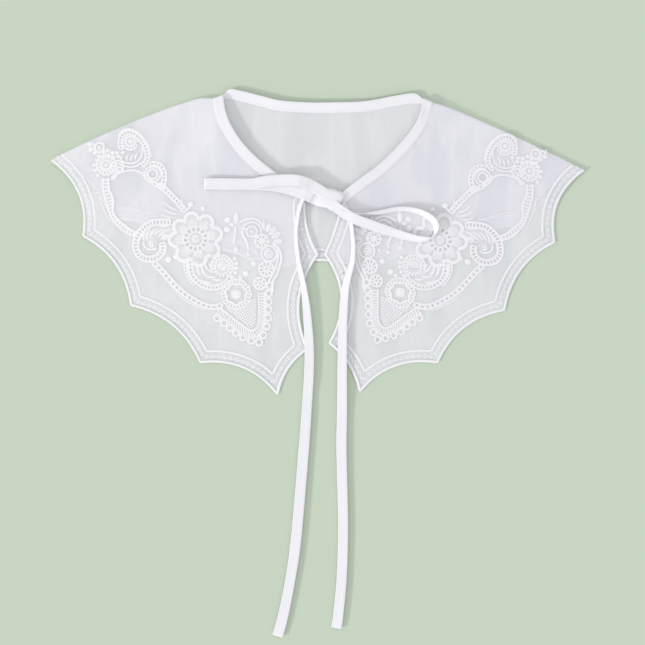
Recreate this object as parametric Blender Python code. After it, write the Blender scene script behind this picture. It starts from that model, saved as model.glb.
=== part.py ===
"""Lace collar lying flat: folded organza body, ribbon neck binding tied in a bow, raised embroidery.

All tables are in millimetres and degrees, seen from above, with +Y towards the back of the neck.
"""
import math

import bmesh
import bpy
import numpy as np
from mathutils import Vector
from mathutils.bvhtree import BVHTree

MM = 0.001

# Driving sizes
CLOTH = 1.0
RIBBON_WIDTH = 9.2
RIBBON = 1.0
BINDING = 1.3
SEAM = 0.3
RAISED = 0.8
LAYER_STEP = CLOTH + SEAM
REST = CLOTH / 2

# How the cloth rises from the table towards the neck, and where the fronts step off the back
NECK_EASE = 22.0
FOLD_EASE = 70.0
FOLD_TURN = 16.0
FOLD_TIP = 0.9
STEP_START = 6.0
STEP_END = 20.0

# Fineness
ARC_STEPS = 6
FOLD_STEPS = 6
ROW_SHARES = (0.0, 0.04, 0.1, 0.18, 0.28, 0.4, 0.52, 0.64, 0.76, 0.88, 1.0)

# The table's middle, taken off so that the origin is the bottom centre of the whole collar
MIDDLE = (0.1, -1.4)

# Fronts, from the neck point round to the shoulder tip. sag: how far the edge bows into the
# cloth before the next row. neck: the share of that front's neckline that the row hangs from.
LEFT_FRONT = (
    # x, y, sag, neck
    (-11.9, 140.4, 3.5, 0.00),
    (-0.4, 95.0, 12.3, 0.04),
    (-9.2, 11.9, 5.3, 0.10),
    (-35.8, -28.9, 10.6, 0.18),
    (-104.1, -0.2, 10.1, 0.40),
    (-165.2, 50.2, 9.7, 0.66),
    (-207.3, 111.2, 11.0, 0.86),
    (-234.6, 177.4, 0.0, 1.00),
)
RIGHT_FRONT = (
    # x, y, sag, neck
    (19.8, 136.0, 0.9, 0.00),
    (5.5, 95.1, 12.8, 0.04),
    (9.1, 17.2, 4.8, 0.10),
    (36.2, -26.1, 10.6, 0.18),
    (104.8, -0.2, 10.1, 0.40),
    (163.7, 46.0, 9.7, 0.66),
    (208.0, 105.9, 11.0, 0.86),
    (232.9, 168.7, 0.0, 1.00),
)

# Hem of the back, from the left tip to the right tip
BACK_HEM = (
    # x, y, sag, neck
    (-234.6, 177.4, 10.6, 0.00),
    (-182.6, 124.5, 10.1, 0.16),
    (-114.8, 97.2, 9.7, 0.30),
    (-44.4, 78.8, 11.4, 0.44),
    (44.4, 78.3, 9.7, 0.58),
    (114.0, 93.7, 10.1, 0.72),
    (180.8, 118.4, 10.6, 0.86),
    (232.9, 168.7, 0.0, 1.00),
)

# Middle line of the neck binding. side: which way the cloth lies from it. lean: how far the
# cloth side of the ribbon tips down.
NECK_LEFT = (
    # x, y, z, side, lean
    (-4.2, 144.0, 3.2, 249, 8),
    (-12.3, 147.1, 3.2, 244, 8),
    (-26.0, 154.4, 3.4, 240, 8),
    (-38.3, 161.9, 3.9, 236, 8),
    (-49.7, 170.3, 4.6, 231, 8),
    (-61.2, 180.4, 5.6, 225, 8),
    (-71.7, 192.3, 6.8, 217, 8),
    (-81.0, 206.8, 7.9, 207, 8),
    (-86.2, 221.3, 8.6, 198, 5),
    (-87.6, 231.8, 8.8, 201, 0),
)
NECK_BACK = (
    # x, y, z, side, lean
    (-87.6, 231.8, 2.2, 201, 0),
    (-83.8, 232.2, 2.2, 216, 3),
    (-79.8, 233.0, 2.3, 236, 6),
    (-75.2, 234.0, 2.6, 255, 9),
    (-65.2, 234.1, 3.0, 260, 10),
    (-50.6, 229.7, 3.4, 255, 10),
    (-33.9, 225.7, 3.8, 262, 10),
    (-10.1, 224.0, 3.9, 268, 10),
    (14.3, 224.0, 3.9, 271, 10),
    (40.9, 225.0, 3.8, 276, 10),
    (63.8, 229.1, 3.4, 281, 10),
    (80.3, 231.9, 3.0, 279, 9),
    (87.6, 231.6, 2.6, 287, 6),
    (92.8, 231.3, 2.3, 310, 3),
    (97.2, 229.9, 2.2, 336, 0),
)
NECK_RIGHT = (
    # x, y, z, side, lean
    (21.9, 143.4, 4.9, 308, 35),
    (26.8, 148.0, 5.2, 305, 38),
    (41.8, 158.0, 5.2, 305, 38),
    (61.4, 172.1, 5.5, 310, 41),
    (78.2, 188.7, 6.0, 319, 45),
    (91.1, 206.8, 6.4, 331, 45),
    (95.7, 219.4, 6.7, 340, 30),
    (97.2, 229.9, 6.8, 336, 0),
)
FREE_ROWS = 1
LEFT_FOLD_BOW = 5.1
RIGHT_FOLD_BOW = 2.2

# Ribbon ends and loops, from the knot outwards. lift: height added over what the row rests on.
TAIL_LEFT = (
    # x, y, lean, lift
    (-2.0, 136.0, 20, 0.0),
    (-9.5, 137.4, 35, 0.0),
    (-15.6, 134.6, 60, 0.0),
    (-18.4, 127.0, 68, 0.0),
    (-19.9, 112.2, 68, 0.0),
    (-17.8, 90.2, 68, 0.0),
    (-13.2, 67.3, 60, 0.0),
    (-9.8, 40.0, 43, 0.0),
    (-8.0, 2.2, 39, 0.0),
    (-10.6, -45.3, 28, 0.0),
    (-12.8, -75.2, 16, 0.0),
    (-17.7, -134.2, 0, 0.0),
    (-20.7, -164.1, 0, 0.0),
    (-25.3, -194.0, 6, 0.0),
    (-31.4, -224.0, 0, 0.0),
    (-36.0, -240.4, 0, 0.0),
)
TAIL_RIGHT = (
    # x, y, lean, lift
    (20.2, 138.8, 5, 0.0),
    (25.5, 135.0, 8, 0.0),
    (27.8, 127.6, 8, 0.0),
    (29.1, 119.0, 14, 0.0),
    (30.3, 108.0, 46, 0.0),
    (30.7, 98.0, 64, 0.0),
    (29.0, 86.0, 62, 0.0),
    (24.0, 67.3, 48, 0.0),
    (21.6, 40.0, 40, 0.0),
    (20.9, 2.2, 43, 0.0),
    (20.7, -45.3, 27, 0.0),
    (20.2, -75.2, 4, 0.0),
    (21.6, -134.2, 18, 0.0),
    (21.4, -164.1, 16, 0.0),
    (20.1, -194.0, 10, 0.0),
    (17.1, -224.0, 6, 0.0),
    (15.6, -233.3, 4, 0.0),
)
LOOP_LEFT_UNDER = (
    # x, y, lean, lift
    (-2.4, 143.0, 0, 0.0),
    (-8.4, 146.1, 0, 0.0),
    (-20.7, 150.7, 0, 0.0),
    (-36.1, 154.1, 0, 0.0),
    (-56.8, 156.2, 0, 0.0),
    (-80.0, 156.6, 0, 0.0),
    (-99.0, 156.9, 0, 0.0),
)
LOOP_LEFT_OVER = (
    # x, y, lean, lift
    (-99.0, 156.9, 0, 0.0),
    (-80.0, 156.8, 0, 0.0),
    (-59.4, 156.5, 0, 0.0),
    (-48.8, 158.4, 0, 0.0),
    (-35.6, 159.8, 0, 0.0),
    (-21.1, 159.8, 0, 0.0),
    (-11.0, 157.3, 0, 0.0),
    (-1.0, 152.4, 0, 0.0),
)
LOOP_RIGHT = (
    # x, y, lean, lift
    (19.6, 133.2, 26, 0.6),
    (30.4, 126.5, 30, 1.4),
    (48.8, 119.7, 36, 0.4),
    (70.8, 112.6, 46, 0.0),
    (86.7, 108.7, 56, 0.0),
    (98.2, 109.6, 60, 0.0),
    (103.4, 116.4, 60, 0.0),
    (102.0, 124.0, 60, 0.0),
    (95.9, 129.6, 62, 0.0),
    (84.9, 133.7, 66, 0.0),
    (70.0, 134.7, 66, 0.0),
    (54.1, 132.0, 66, 0.0),
    (42.7, 132.4, 66, 0.3),
    (33.0, 135.4, 58, 0.3),
    (25.6, 138.0, 48, 0.3),
)
LOOP_TURN = 0.85
KNOT = {"x": 10.1, "y": 144.2, "long": 11.2, "wide": 8.6, "turn": 62, "height": 5.6}

# Embroidery of the left front; the right front takes the same work, carried over by its outline
FLOWERS = (
    # name, x, y, radius, petals
    ("flower_eyelet", -145.9, 165.9, 9.8, 8),
    ("flower_large", -107.8, 108.7, 19.6, 10),
    ("flower_open", -71.7, 60.3, 12.6, 6),
    ("flower_small", -72.6, 119.2, 7.0, 5),
    ("rosette_tip", -193.2, 189.8, 4.6, 6),
    ("rosette_ring", -179.6, 170.6, 4.4, 6),
    ("rosette_low", -51.5, 69.1, 4.6, 6),
    ("rosette_mid", -47.5, 82.3, 6.2, 8),
    ("rosette_high", -43.0, 95.2, 5.2, 8),
    ("rosette_top", -51.5, 106.9, 6.0, 8),
)
NET_DROP = (
    # x, y
    (-86.0, 47.0),
    (-88.0, 39.5),
    (-80.5, 31.5),
    (-72.0, 25.8),
    (-53.2, 17.2),
    (-46.0, 31.5),
    (-42.4, 50.5),
    (-46.5, 61.0),
    (-56.5, 52.5),
    (-67.5, 45.2),
    (-78.5, 46.2),
)
SCROLLS = (
    # name, half width, path rows of x, y
    ("scroll_tip", 2.4, ((-168.0, 171.4), (-158.0, 171.5), (-149.4, 180.4), (-152.6, 192.6),
                         (-164.4, 200.8), (-175.0, 195.0), (-175.0, 186.8), (-166.4, 184.2))),
    ("scroll_upper", 2.3, ((-124.6, 127.4), (-134.2, 121.6), (-148.3, 119.4), (-158.8, 111.6),
                           (-160.2, 99.0), (-150.4, 90.6), (-139.4, 94.8), (-138.8, 104.8),
                           (-146.4, 107.6))),
    ("scroll_lower", 2.3, ((-117.4, 86.4), (-115.4, 76.4), (-107.2, 67.2), (-96.6, 65.4),
                           (-88.8, 71.4), (-86.8, 81.4), (-95.0, 83.6))),
    ("band_outer", 2.6, ((-186.0, 162.6), (-186.2, 148.2), (-183.5, 133.4), (-174.2, 118.8),
                         (-165.2, 111.2))),
    ("band_inner", 2.5, ((-146.0, 150.0), (-138.5, 152.6), (-129.0, 144.4), (-120.4, 134.4))),
    ("band_stem", 2.6, ((-143.6, 84.6), (-133.8, 72.6), (-115.7, 56.8), (-101.6, 49.3),
                        (-92.4, 49.8))),
)


def clear_scene():
    """Empty the open file."""
    for thing in list(bpy.data.objects):
        bpy.data.objects.remove(thing, do_unlink=True)


def cloth_material(name, colour, roughness):
    """A Principled material for one cloth or thread."""
    material = bpy.data.materials.new(name)
    material.use_nodes = True
    shader = material.node_tree.nodes["Principled BSDF"]
    shader.inputs["Base Color"].default_value = (*colour, 1.0)
    shader.inputs["Roughness"].default_value = roughness
    shader.inputs["Metallic"].default_value = 0.0
    return material


def add_object(name, bm, material):
    """Turn a bmesh drawn in millimetres into a named object in metres."""
    bmesh.ops.translate(bm, verts=bm.verts, vec=(-MIDDLE[0], -MIDDLE[1], 0.0))
    bmesh.ops.scale(bm, verts=bm.verts, vec=(MM, MM, MM))
    bmesh.ops.recalc_face_normals(bm, faces=bm.faces)
    bmesh.ops.triangulate(bm, faces=bm.faces)
    mesh = bpy.data.meshes.new(name)
    bm.to_mesh(mesh)
    bm.free()
    mesh.materials.append(material)
    obj = bpy.data.objects.new(name, mesh)
    bpy.context.scene.collection.objects.link(obj)
    return obj


def spline(rows, steps):
    """Smooth curve through table rows, every column alike, with steps points to a row."""
    table = np.array(rows, dtype=float)
    ends = np.vstack((2 * table[0] - table[1], table, 2 * table[-1] - table[-2]))
    points = []
    for row in range(1, len(ends) - 2):
        a, b, c, d = ends[row - 1:row + 3]
        for step in range(steps):
            t = step / steps
            bend = (2 * a - 5 * b + 4 * c - d) * t * t + (3 * b - a - 3 * c + d) * t ** 3
            points.append(0.5 * (2 * b + (c - a) * t + bend))
    points.append(table[-1])
    return np.array(points)


def shares_along(points):
    """Share of the length reached at each point of a curve seen from above."""
    steps = np.hypot(*np.diff(points[:, :2], axis=0).T)
    reached = np.concatenate(([0.0], np.cumsum(steps)))
    return reached / reached[-1]


def at_share(points, share):
    """All columns of a curve at a share of its length."""
    shares = shares_along(points)
    return np.array([np.interp(share, shares, column) for column in points.T])


def scalloped_edge(table, side):
    """Outline points and neck shares of a scalloped edge; side is 1 where it bows to the left."""
    edge = []
    for row, following in zip(table, table[1:]):
        start = np.array(row[:2])
        chord = np.array(following[:2]) - start
        into = side * np.array((-chord[1], chord[0])) / np.hypot(*chord)
        for step in range(ARC_STEPS):
            t = step / ARC_STEPS
            spot = start + chord * t + into * row[2] * 4 * t * (1 - t)
            edge.append((spot[0], spot[1], row[3] + (following[3] - row[3]) * t))
    last = table[-1]
    edge.append((last[0], last[1], last[3]))
    return edge


def neck_frame(row):
    """Middle point of the binding and the direction of its cloth side."""
    x, y, z, side, lean = row
    across = math.cos(math.radians(lean))
    angle = math.radians(side)
    way = Vector((across * math.cos(angle), across * math.sin(angle), -math.sin(math.radians(lean))))
    return Vector((x, y, z)), way


def fall(distance, reach):
    """Smooth fall from 1 to 0 over a distance."""
    return math.exp(-(distance / reach) ** 2)


def distance_to_edge(spot, edge):
    """Shortest distance from a spot to an outline, and whether the spot is inside it."""
    best = 1e9
    inside = False
    for a, b in zip(edge, edge[1:] + edge[:1]):
        line = b - a
        t = max(0.0, min(1.0, (spot - a).dot(line) / max(line.length_squared, 1e-9)))
        best = min(best, (spot - a - line * t).length)
        if (a.y > spot.y) != (b.y > spot.y):
            if spot.x < a.x + (spot.y - a.y) * line.x / line.y:
                inside = not inside
    return best, inside


def layer_share(spot, back_outline):
    """1 where the cloth lies on the back, falling to 0 beyond its hem."""
    distance, inside = distance_to_edge(spot, back_outline)
    if inside or distance < STEP_START:
        return 1.0
    t = min(1.0, (distance - STEP_START) / (STEP_END - STEP_START))
    return 1.0 - t * t * (3 - 2 * t)


def fold_profile(front_neck, back_neck, tip, bow, side):
    """Rows along a shoulder fold: place of the axis, top height, bottom height and way out."""
    start, way = neck_frame(front_neck)
    start = start + way * (RIBBON_WIDTH / 2 + SEAM)
    top_at_neck = start.z
    bottom_at_neck = back_neck[2]
    radius_at_neck = (top_at_neck - bottom_at_neck) / 2
    run = Vector((tip[0] - start.x, tip[1] - start.y))
    out = Vector((run.y, -run.x)).normalized() * side
    rows = []
    for share in ROW_SHARES:
        along = run.length * share
        spot = start.xy + run * share + out * bow * 4 * share * (1 - share)
        bottom = REST + (bottom_at_neck - REST) * fall(along, NECK_EASE)
        radius = FOLD_TIP + (radius_at_neck - FOLD_TIP) * fall(along, FOLD_EASE)
        rows.append((spot, bottom + 2 * radius, bottom, out))
    return rows


def front_sections(table, neck_rows, side, fold, bow, back_outline):
    """Sections of one front from the centre to the shoulder fold."""
    neck = spline(neck_rows, 10)
    first = FREE_ROWS * 10
    sections = []
    for x, y, share in scalloped_edge(table, side):
        middle, way = neck_frame(at_share(neck[first:], share))
        start = middle + way * (RIBBON_WIDTH / 2 + SEAM)
        run = Vector((x, y)) - start.xy
        base_at_neck = REST + LAYER_STEP * layer_share(start.xy, back_outline)
        bulge = bow * max(0.0, 1 - (1 - share) / 0.3)
        points = []
        for row_share, (axis, top, bottom, out) in zip(ROW_SHARES, fold):
            spot = start.xy + run * row_share + out * bulge * 4 * row_share * (1 - row_share)
            along = run.length * row_share
            height = REST + LAYER_STEP * layer_share(spot, back_outline)
            height += (start.z - base_at_neck) * fall(along, NECK_EASE)
            turn = fall((spot - axis).length, FOLD_TURN)
            height += (top - height) * turn if top > height else 0.0
            points.append(Vector((spot.x, spot.y, height)))
        sections.append(points)
    return sections


def fold_sections(fold):
    """Half-round sections from the front, round the fold, to the back."""
    sections = []
    for step in range(1, FOLD_STEPS):
        angle = math.pi / 2 - math.pi * step / FOLD_STEPS
        points = []
        for axis, top, bottom, out in fold:
            radius = (top - bottom) / 2
            spot = axis + out * radius * math.cos(angle)
            points.append(Vector((spot.x, spot.y, (top + bottom) / 2 + radius * math.sin(angle))))
        sections.append(points)
    return sections


def back_sections(left_fold, right_fold):
    """Sections of the back from the left fold to the right fold."""
    neck = spline(NECK_BACK, 10)
    sections = []
    for x, y, share in scalloped_edge(BACK_HEM, 1):
        middle, way = neck_frame(at_share(neck, share))
        start = middle + way * (RIBBON_WIDTH / 2 + SEAM)
        run = Vector((x, y)) - start.xy
        points = []
        for number, row_share in enumerate(ROW_SHARES):
            spot = start.xy + run * row_share
            for fold, bow, reach in ((left_fold, LEFT_FOLD_BOW, share),
                                     (right_fold, RIGHT_FOLD_BOW, 1 - share)):
                bulge = bow * max(0.0, 1 - reach / 0.3)
                spot = spot + fold[number][3] * bulge * 4 * row_share * (1 - row_share)
            along = run.length * row_share
            height = REST + (start.z - REST) * fall(along, NECK_EASE)
            points.append(Vector((spot.x, spot.y, height)))
        sections.append(points)
    return sections


def wall_from_sections(sections, thickness):
    """A closed wall of even thickness about the middle points of its sections."""
    middle = bmesh.new()
    grid = [[middle.verts.new(point) for point in section] for section in sections]
    rows = len(grid[0])
    for near, far in zip(grid, grid[1:]):
        for row in range(rows - 1):
            middle.faces.new((near[row], near[row + 1], far[row + 1], far[row]))
    middle.normal_update()
    upper = [[vert.co + vert.normal * thickness / 2 for vert in section] for section in grid]
    lower = [[vert.co - vert.normal * thickness / 2 for vert in section] for section in grid]
    middle.free()
    for section in upper + lower:
        for point in section:
            point.z = max(0.0, point.z)
    rings = []
    for above, below in zip(upper, lower):
        rings.append(above + below[::-1])
    return skin_rings(rings)


def skin_rings(rings):
    """A closed skin over rings of equal length, with a cap on each end."""
    bm = bmesh.new()
    loops = [[bm.verts.new(point) for point in ring] for ring in rings]
    count = len(loops[0])
    for near, far in zip(loops, loops[1:]):
        for k in range(count):
            following = (k + 1) % count
            bm.faces.new((near[k], near[following], far[following], far[k]))
    half = count // 2
    for cap in (loops[0], loops[-1]):
        for k in range(half - 1):
            bm.faces.new((cap[k], cap[k + 1], cap[count - 2 - k], cap[count - 1 - k]))
        if count % 2:
            bm.faces.new((cap[half - 1], cap[half], cap[half + 1]))
    return bm


def make_body(material):
    """The organza: left front, fold, back, fold and right front in one wall."""
    back_outline = [Vector(spot[:2]) for spot in scalloped_edge(BACK_HEM, 1)]
    back_outline += [Vector((row[0], row[1])) for row in NECK_BACK[::-1]]
    tip_left = LEFT_FRONT[-1]
    tip_right = RIGHT_FRONT[-1]
    left_fold = fold_profile(NECK_LEFT[-1], NECK_BACK[0], tip_left, LEFT_FOLD_BOW, 1)
    right_fold = fold_profile(NECK_RIGHT[-1], NECK_BACK[-1], tip_right, RIGHT_FOLD_BOW, -1)
    left = front_sections(LEFT_FRONT, NECK_LEFT, -1, left_fold, LEFT_FOLD_BOW, back_outline)
    right = front_sections(RIGHT_FRONT, NECK_RIGHT, 1, right_fold, RIGHT_FOLD_BOW, back_outline)
    sections = left + fold_sections(left_fold)
    sections += back_sections(left_fold, right_fold)
    sections += fold_sections(right_fold)[::-1] + right[::-1]
    return add_object("collar_body", wall_from_sections(sections, CLOTH), material)


def ribbon_ring(middle, way, normal, width, thickness):
    """Six points round one section of a ribbon, thinner at its woven edges."""
    half = width / 2
    flat = half - thickness * 0.6
    up = normal * thickness / 2
    return [middle - way * half, middle - way * flat + up, middle + way * flat + up,
            middle + way * half, middle + way * flat - up, middle - way * flat - up]


def ribbon_wall(frames, width, thickness):
    """A closed ribbon through frames of a middle point and the direction across."""
    rings = []
    for number, (middle, way) in enumerate(frames):
        before = frames[max(0, number - 1)][0]
        after = frames[min(len(frames) - 1, number + 1)][0]
        normal = way.cross(after - before).normalized()
        rings.append(ribbon_ring(middle, way, normal, width, thickness))
    bm = bmesh.new()
    loops = [[bm.verts.new(point) for point in ring] for ring in rings]
    for near, far in zip(loops, loops[1:]):
        for k in range(6):
            following = (k + 1) % 6
            bm.faces.new((near[k], near[following], far[following], far[k]))
    bm.faces.new(loops[0])
    bm.faces.new(loops[-1])
    return bm


def shoulder_turn(front_row, back_row, side):
    """Frames of the binding where it goes round a shoulder fold."""
    start, way = neck_frame(front_row)
    out = Vector((way.y, -way.x, 0.0)) * side
    middle_z = (front_row[2] + back_row[2]) / 2
    radius = (front_row[2] - back_row[2]) / 2
    frames = []
    for step in range(1, FOLD_STEPS):
        angle = math.pi / 2 - math.pi * step / FOLD_STEPS
        spot = Vector((start.x, start.y, middle_z + radius * math.sin(angle)))
        frames.append((spot + out * radius * math.cos(angle), way))
    return frames


def make_binding(material):
    """The ribbon round the neck, from the knot over both shoulders and back to the knot."""
    left = [neck_frame(row) for row in spline(NECK_LEFT, 3)]
    back = [neck_frame(row) for row in spline(NECK_BACK, 3)]
    right = [neck_frame(row) for row in spline(NECK_RIGHT, 3)]
    left_turn = shoulder_turn(NECK_LEFT[-1], NECK_BACK[0], 1)
    right_turn = shoulder_turn(NECK_RIGHT[-1], NECK_BACK[-1], -1)
    frames = left + left_turn + back + right_turn[::-1] + right[::-1]
    return add_object("neck_binding", ribbon_wall(frames, RIBBON_WIDTH, BINDING), material)


def top_surface(objects):
    """A test that gives the height of the highest of some solids under a spot, or the table."""
    trees = [BVHTree.FromObject(obj, bpy.context.evaluated_depsgraph_get()) for obj in objects]

    def height(x, y):
        best = 0.0
        start = Vector(((x - MIDDLE[0]) * MM, (y - MIDDLE[1]) * MM, 0.1))
        for tree in trees:
            hit = tree.ray_cast(start, Vector((0.0, 0.0, -1.0)))
            if hit[0] is not None:
                best = max(best, hit[0].z / MM)
        return best

    return height


def resting_frames(rows, height, steps, thickness):
    """Frames of a ribbon laid over what is under it, each row tipped by its lean."""
    path = spline(rows, steps)
    clearances = []
    ways = []
    for number, (x, y, lean, lift) in enumerate(path):
        before = path[max(0, number - 1)]
        after = path[min(len(path) - 1, number + 1)]
        run = Vector((after[0] - before[0], after[1] - before[1])).normalized()
        across = Vector((-run.y, run.x))
        tip = math.radians(max(0.0, lean))
        reach = RIBBON_WIDTH / 2 * math.cos(tip)
        under = 0.0
        for share in (-1.15, -0.8, -0.4, 0.0, 0.4, 0.8, 1.15):
            under = max(under, height(x + across.x * reach * share, y + across.y * reach * share))
        rise = RIBBON_WIDTH / 2 * math.sin(tip) + thickness / 2 * math.cos(tip)
        clearances.append(under + rise + lift + (SEAM if under > 0 else 0.0))
        ways.append(Vector((across.x * math.cos(tip), across.y * math.cos(tip), math.sin(tip))))
    frames = []
    for number, (x, y, lean, lift) in enumerate(path):
        near = clearances[max(0, number - 2):number + 3]
        wide = [max(clearances[max(0, k - 2):k + 3]) for k in range(max(0, number - 2),
                                                                    min(len(path), number + 3))]
        z = max(clearances[number], sum(wide) / len(wide) if max(near) > min(near) + 0.2 else 0.0)
        frames.append((Vector((x, y, z)), ways[number]))
    return frames


def make_loop_left(height, material):
    """The loop pressed flat: one length under, a turn at the end, one length back over it."""
    under = resting_frames(LOOP_LEFT_UNDER, height, 3, RIBBON)
    over = resting_frames(LOOP_LEFT_OVER, height, 3, RIBBON)
    over = [(spot, -way) for spot, way in over]
    end, way = under[-1]
    run = (end - under[-2][0]).normalized()
    gap = 2 * LOOP_TURN
    floor_of = [spot.z for spot, direction in under]
    lifted = []
    for number, (spot, direction) in enumerate(over):
        share = number / (len(over) - 1)
        below = float(np.interp(1 - share, np.linspace(0, 1, len(floor_of)), floor_of))
        lifted.append((Vector((spot.x, spot.y, max(spot.z, below) + gap)), direction))
    turn = []
    for step in range(1, FOLD_STEPS):
        angle = -math.pi / 2 + math.pi * step / FOLD_STEPS
        spot = end + run * LOOP_TURN * math.cos(angle)
        turn.append((spot + Vector((0, 0, LOOP_TURN * (1 + math.sin(angle)))), way))
    lifted[0] = (Vector((end.x, end.y, end.z + gap)), way)
    frames = under + turn + lifted
    return add_object("bow_loop_left", ribbon_wall(frames, RIBBON_WIDTH, RIBBON), material)


def make_ties(made, material):
    """Both tails and both loops of the bow, each resting on all that is under it."""
    for name, rows in (("tie_tail_left", TAIL_LEFT), ("tie_tail_right", TAIL_RIGHT)):
        frames = resting_frames(rows, top_surface(made), 3, RIBBON)
        made.append(add_object(name, ribbon_wall(frames, RIBBON_WIDTH, RIBBON), material))
    made.append(make_loop_left(top_surface(made), material))
    frames = resting_frames(LOOP_RIGHT, top_surface(made), 3, RIBBON)
    add_object("bow_loop_right", ribbon_wall(frames, RIBBON_WIDTH, RIBBON), material)


def make_knot(height, material):
    """The small pressed knot: stacked ovals that round off at top and bottom."""
    base = height(KNOT["x"], KNOT["y"]) + SEAM
    turn = math.radians(KNOT["turn"])
    along = Vector((math.cos(turn), math.sin(turn), 0.0))
    across = Vector((-along.y, along.x, 0.0))
    rings = []
    levels = 6
    for level in range(levels + 1):
        angle = math.pi * (0.12 + 0.76 * level / levels)
        size = math.sin(angle) ** 0.6
        z = base + KNOT["height"] * (math.cos(0.12 * math.pi) - math.cos(angle)) / 2
        ring = []
        for step in range(16):
            round_angle = 2 * math.pi * step / 16
            spot = Vector((KNOT["x"], KNOT["y"], z))
            spot += along * KNOT["long"] * size * math.cos(round_angle)
            spot += across * KNOT["wide"] * size * math.sin(round_angle)
            ring.append(spot)
        rings.append(ring)
    return add_object("bow_knot", skin_rings(rings), material)


def carried_to_right():
    """How a spot of the left front maps to the right front, fitted to their outlines."""
    left = np.array([(row[0], row[1], 1.0) for row in LEFT_FRONT[2:]])
    right = np.array([(row[0], row[1]) for row in RIGHT_FRONT[2:]])
    fit = np.linalg.lstsq(left, right, rcond=None)[0]

    def carry(x, y):
        return tuple(np.array((x, y, 1.0)) @ fit)

    return carry


def stay(x, y):
    """The left front's own work is not carried anywhere."""
    return (x, y)


def raised_patch(outlines, height):
    """A closed raised patch over the cloth from outlines that shrink towards its middle."""
    below = []
    above = []
    for number, ring in enumerate(outlines):
        rise = RAISED * (0.55 if number == 0 else 1.0)
        below.append([Vector((x, y, height(x, y) + SEAM)) for x, y in ring])
        above.append([Vector((x, y, height(x, y) + SEAM + rise)) for x, y in ring])
    return skin_rings(below[::-1] + above)


def flower_outlines(x, y, radius, petals, carry):
    """Scalloped rings of a flower, from its edge to a small middle."""
    steps = petals * (2 if petals > 6 else 3)
    rings = []
    for share in (1.0, 0.66, 0.3) if radius > 9 else (1.0, 0.45):
        ring = []
        for step in range(steps):
            angle = 2 * math.pi * step / steps
            reach = radius * share * (1 - 0.09 * share * (1 + math.cos(petals * angle)))
            ring.append(carry(x + reach * math.cos(angle), y + reach * math.sin(angle)))
        rings.append(ring)
    return rings


def drop_outlines(carry):
    """Rings of the netted drop, from its edge to its middle."""
    closed = np.array(NET_DROP + NET_DROP[:1], dtype=float)
    edge = closed[:-1]
    middle = edge.mean(axis=0)
    rings = []
    for share in (1.0, 0.62, 0.25):
        rings.append([carry(*(middle + (spot - middle) * share)) for spot in edge])
    return rings


def scroll_wall(path, half_width, carry, height):
    """A raised band along a path on the cloth."""
    points = spline([carry(*spot) for spot in path], 3)
    rings = []
    for number, (x, y) in enumerate(points):
        before = points[max(0, number - 1)]
        after = points[min(len(points) - 1, number + 1)]
        run = Vector(after - before).normalized()
        across = Vector((-run.y, run.x))
        ring = []
        for share, rise in ((-1, 0), (-1, 0.5), (-0.6, 1), (0.6, 1), (1, 0.5), (1, 0)):
            spot = Vector((x, y)) + across * half_width * share
            ring.append(Vector((spot.x, spot.y, height(spot.x, spot.y) + SEAM + RAISED * rise)))
        rings.append(ring)
    return skin_rings(rings)


def make_embroidery(height, side, carry, material):
    """All raised work of one front."""
    shapes = {"net_drop": raised_patch(drop_outlines(carry), height)}
    for name, x, y, radius, petals in FLOWERS:
        shapes[name] = raised_patch(flower_outlines(x, y, radius, petals, carry), height)
    for name, half_width, path in SCROLLS:
        shapes[name] = scroll_wall(path, half_width, carry, height)
    return [add_object(f"motif_{side}_{name}", bm, material) for name, bm in shapes.items()]


def main():
    clear_scene()
    organza = cloth_material("organza", (0.82, 0.84, 0.84), 0.55)
    satin = cloth_material("satin_ribbon", (0.86, 0.85, 0.88), 0.4)
    thread = cloth_material("thread", (0.9, 0.9, 0.92), 0.5)
    body = make_body(organza)
    binding = make_binding(satin)
    cloth_top = top_surface([body])
    made = [body, binding]
    made += make_embroidery(cloth_top, "left", stay, thread)
    made += make_embroidery(cloth_top, "right", carried_to_right(), thread)
    make_knot(cloth_top, satin)
    make_ties(made, satin)


main()
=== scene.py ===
"""Lace collar laid flat: sheer organza folded at both shoulders, raised white embroidery on both
fronts, scalloped edges bound in satin stitch, and a ribbon round the neck tied in a bow.

Tables are in millimetres and degrees, seen from above, with +Y towards the back of the neck.
"""

import math

import bmesh
import bpy
import numpy as np
from mathutils import Matrix, Vector
from mathutils.bvhtree import BVHTree
from mathutils.kdtree import KDTree


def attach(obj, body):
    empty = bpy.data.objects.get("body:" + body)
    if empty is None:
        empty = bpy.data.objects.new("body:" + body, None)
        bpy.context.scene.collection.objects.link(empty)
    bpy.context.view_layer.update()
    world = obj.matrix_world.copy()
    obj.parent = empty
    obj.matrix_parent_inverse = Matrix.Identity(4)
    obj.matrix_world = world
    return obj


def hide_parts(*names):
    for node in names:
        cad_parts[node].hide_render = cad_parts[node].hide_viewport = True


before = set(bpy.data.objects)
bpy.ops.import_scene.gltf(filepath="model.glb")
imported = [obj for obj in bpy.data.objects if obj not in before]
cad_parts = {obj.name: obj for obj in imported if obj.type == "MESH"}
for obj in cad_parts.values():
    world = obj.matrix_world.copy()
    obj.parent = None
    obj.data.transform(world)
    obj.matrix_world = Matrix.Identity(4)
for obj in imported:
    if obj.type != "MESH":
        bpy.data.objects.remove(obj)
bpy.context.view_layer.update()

MM = 0.001
MIDDLE = (0.1, -1.4)

# Camera: straight above, the width of table it takes in, and where it looks
VIEW_WIDTH = 567.6
VIEW_MIDDLE = (3.4, 36.6)
LENS = 85.0
SENSOR = 36.0

# Light
KEY_HEIGHT = 23.0
KEY_TURN = 26.0
KEY_SHARE = 0.19
KEY_SOFTNESS = 5.5

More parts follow.
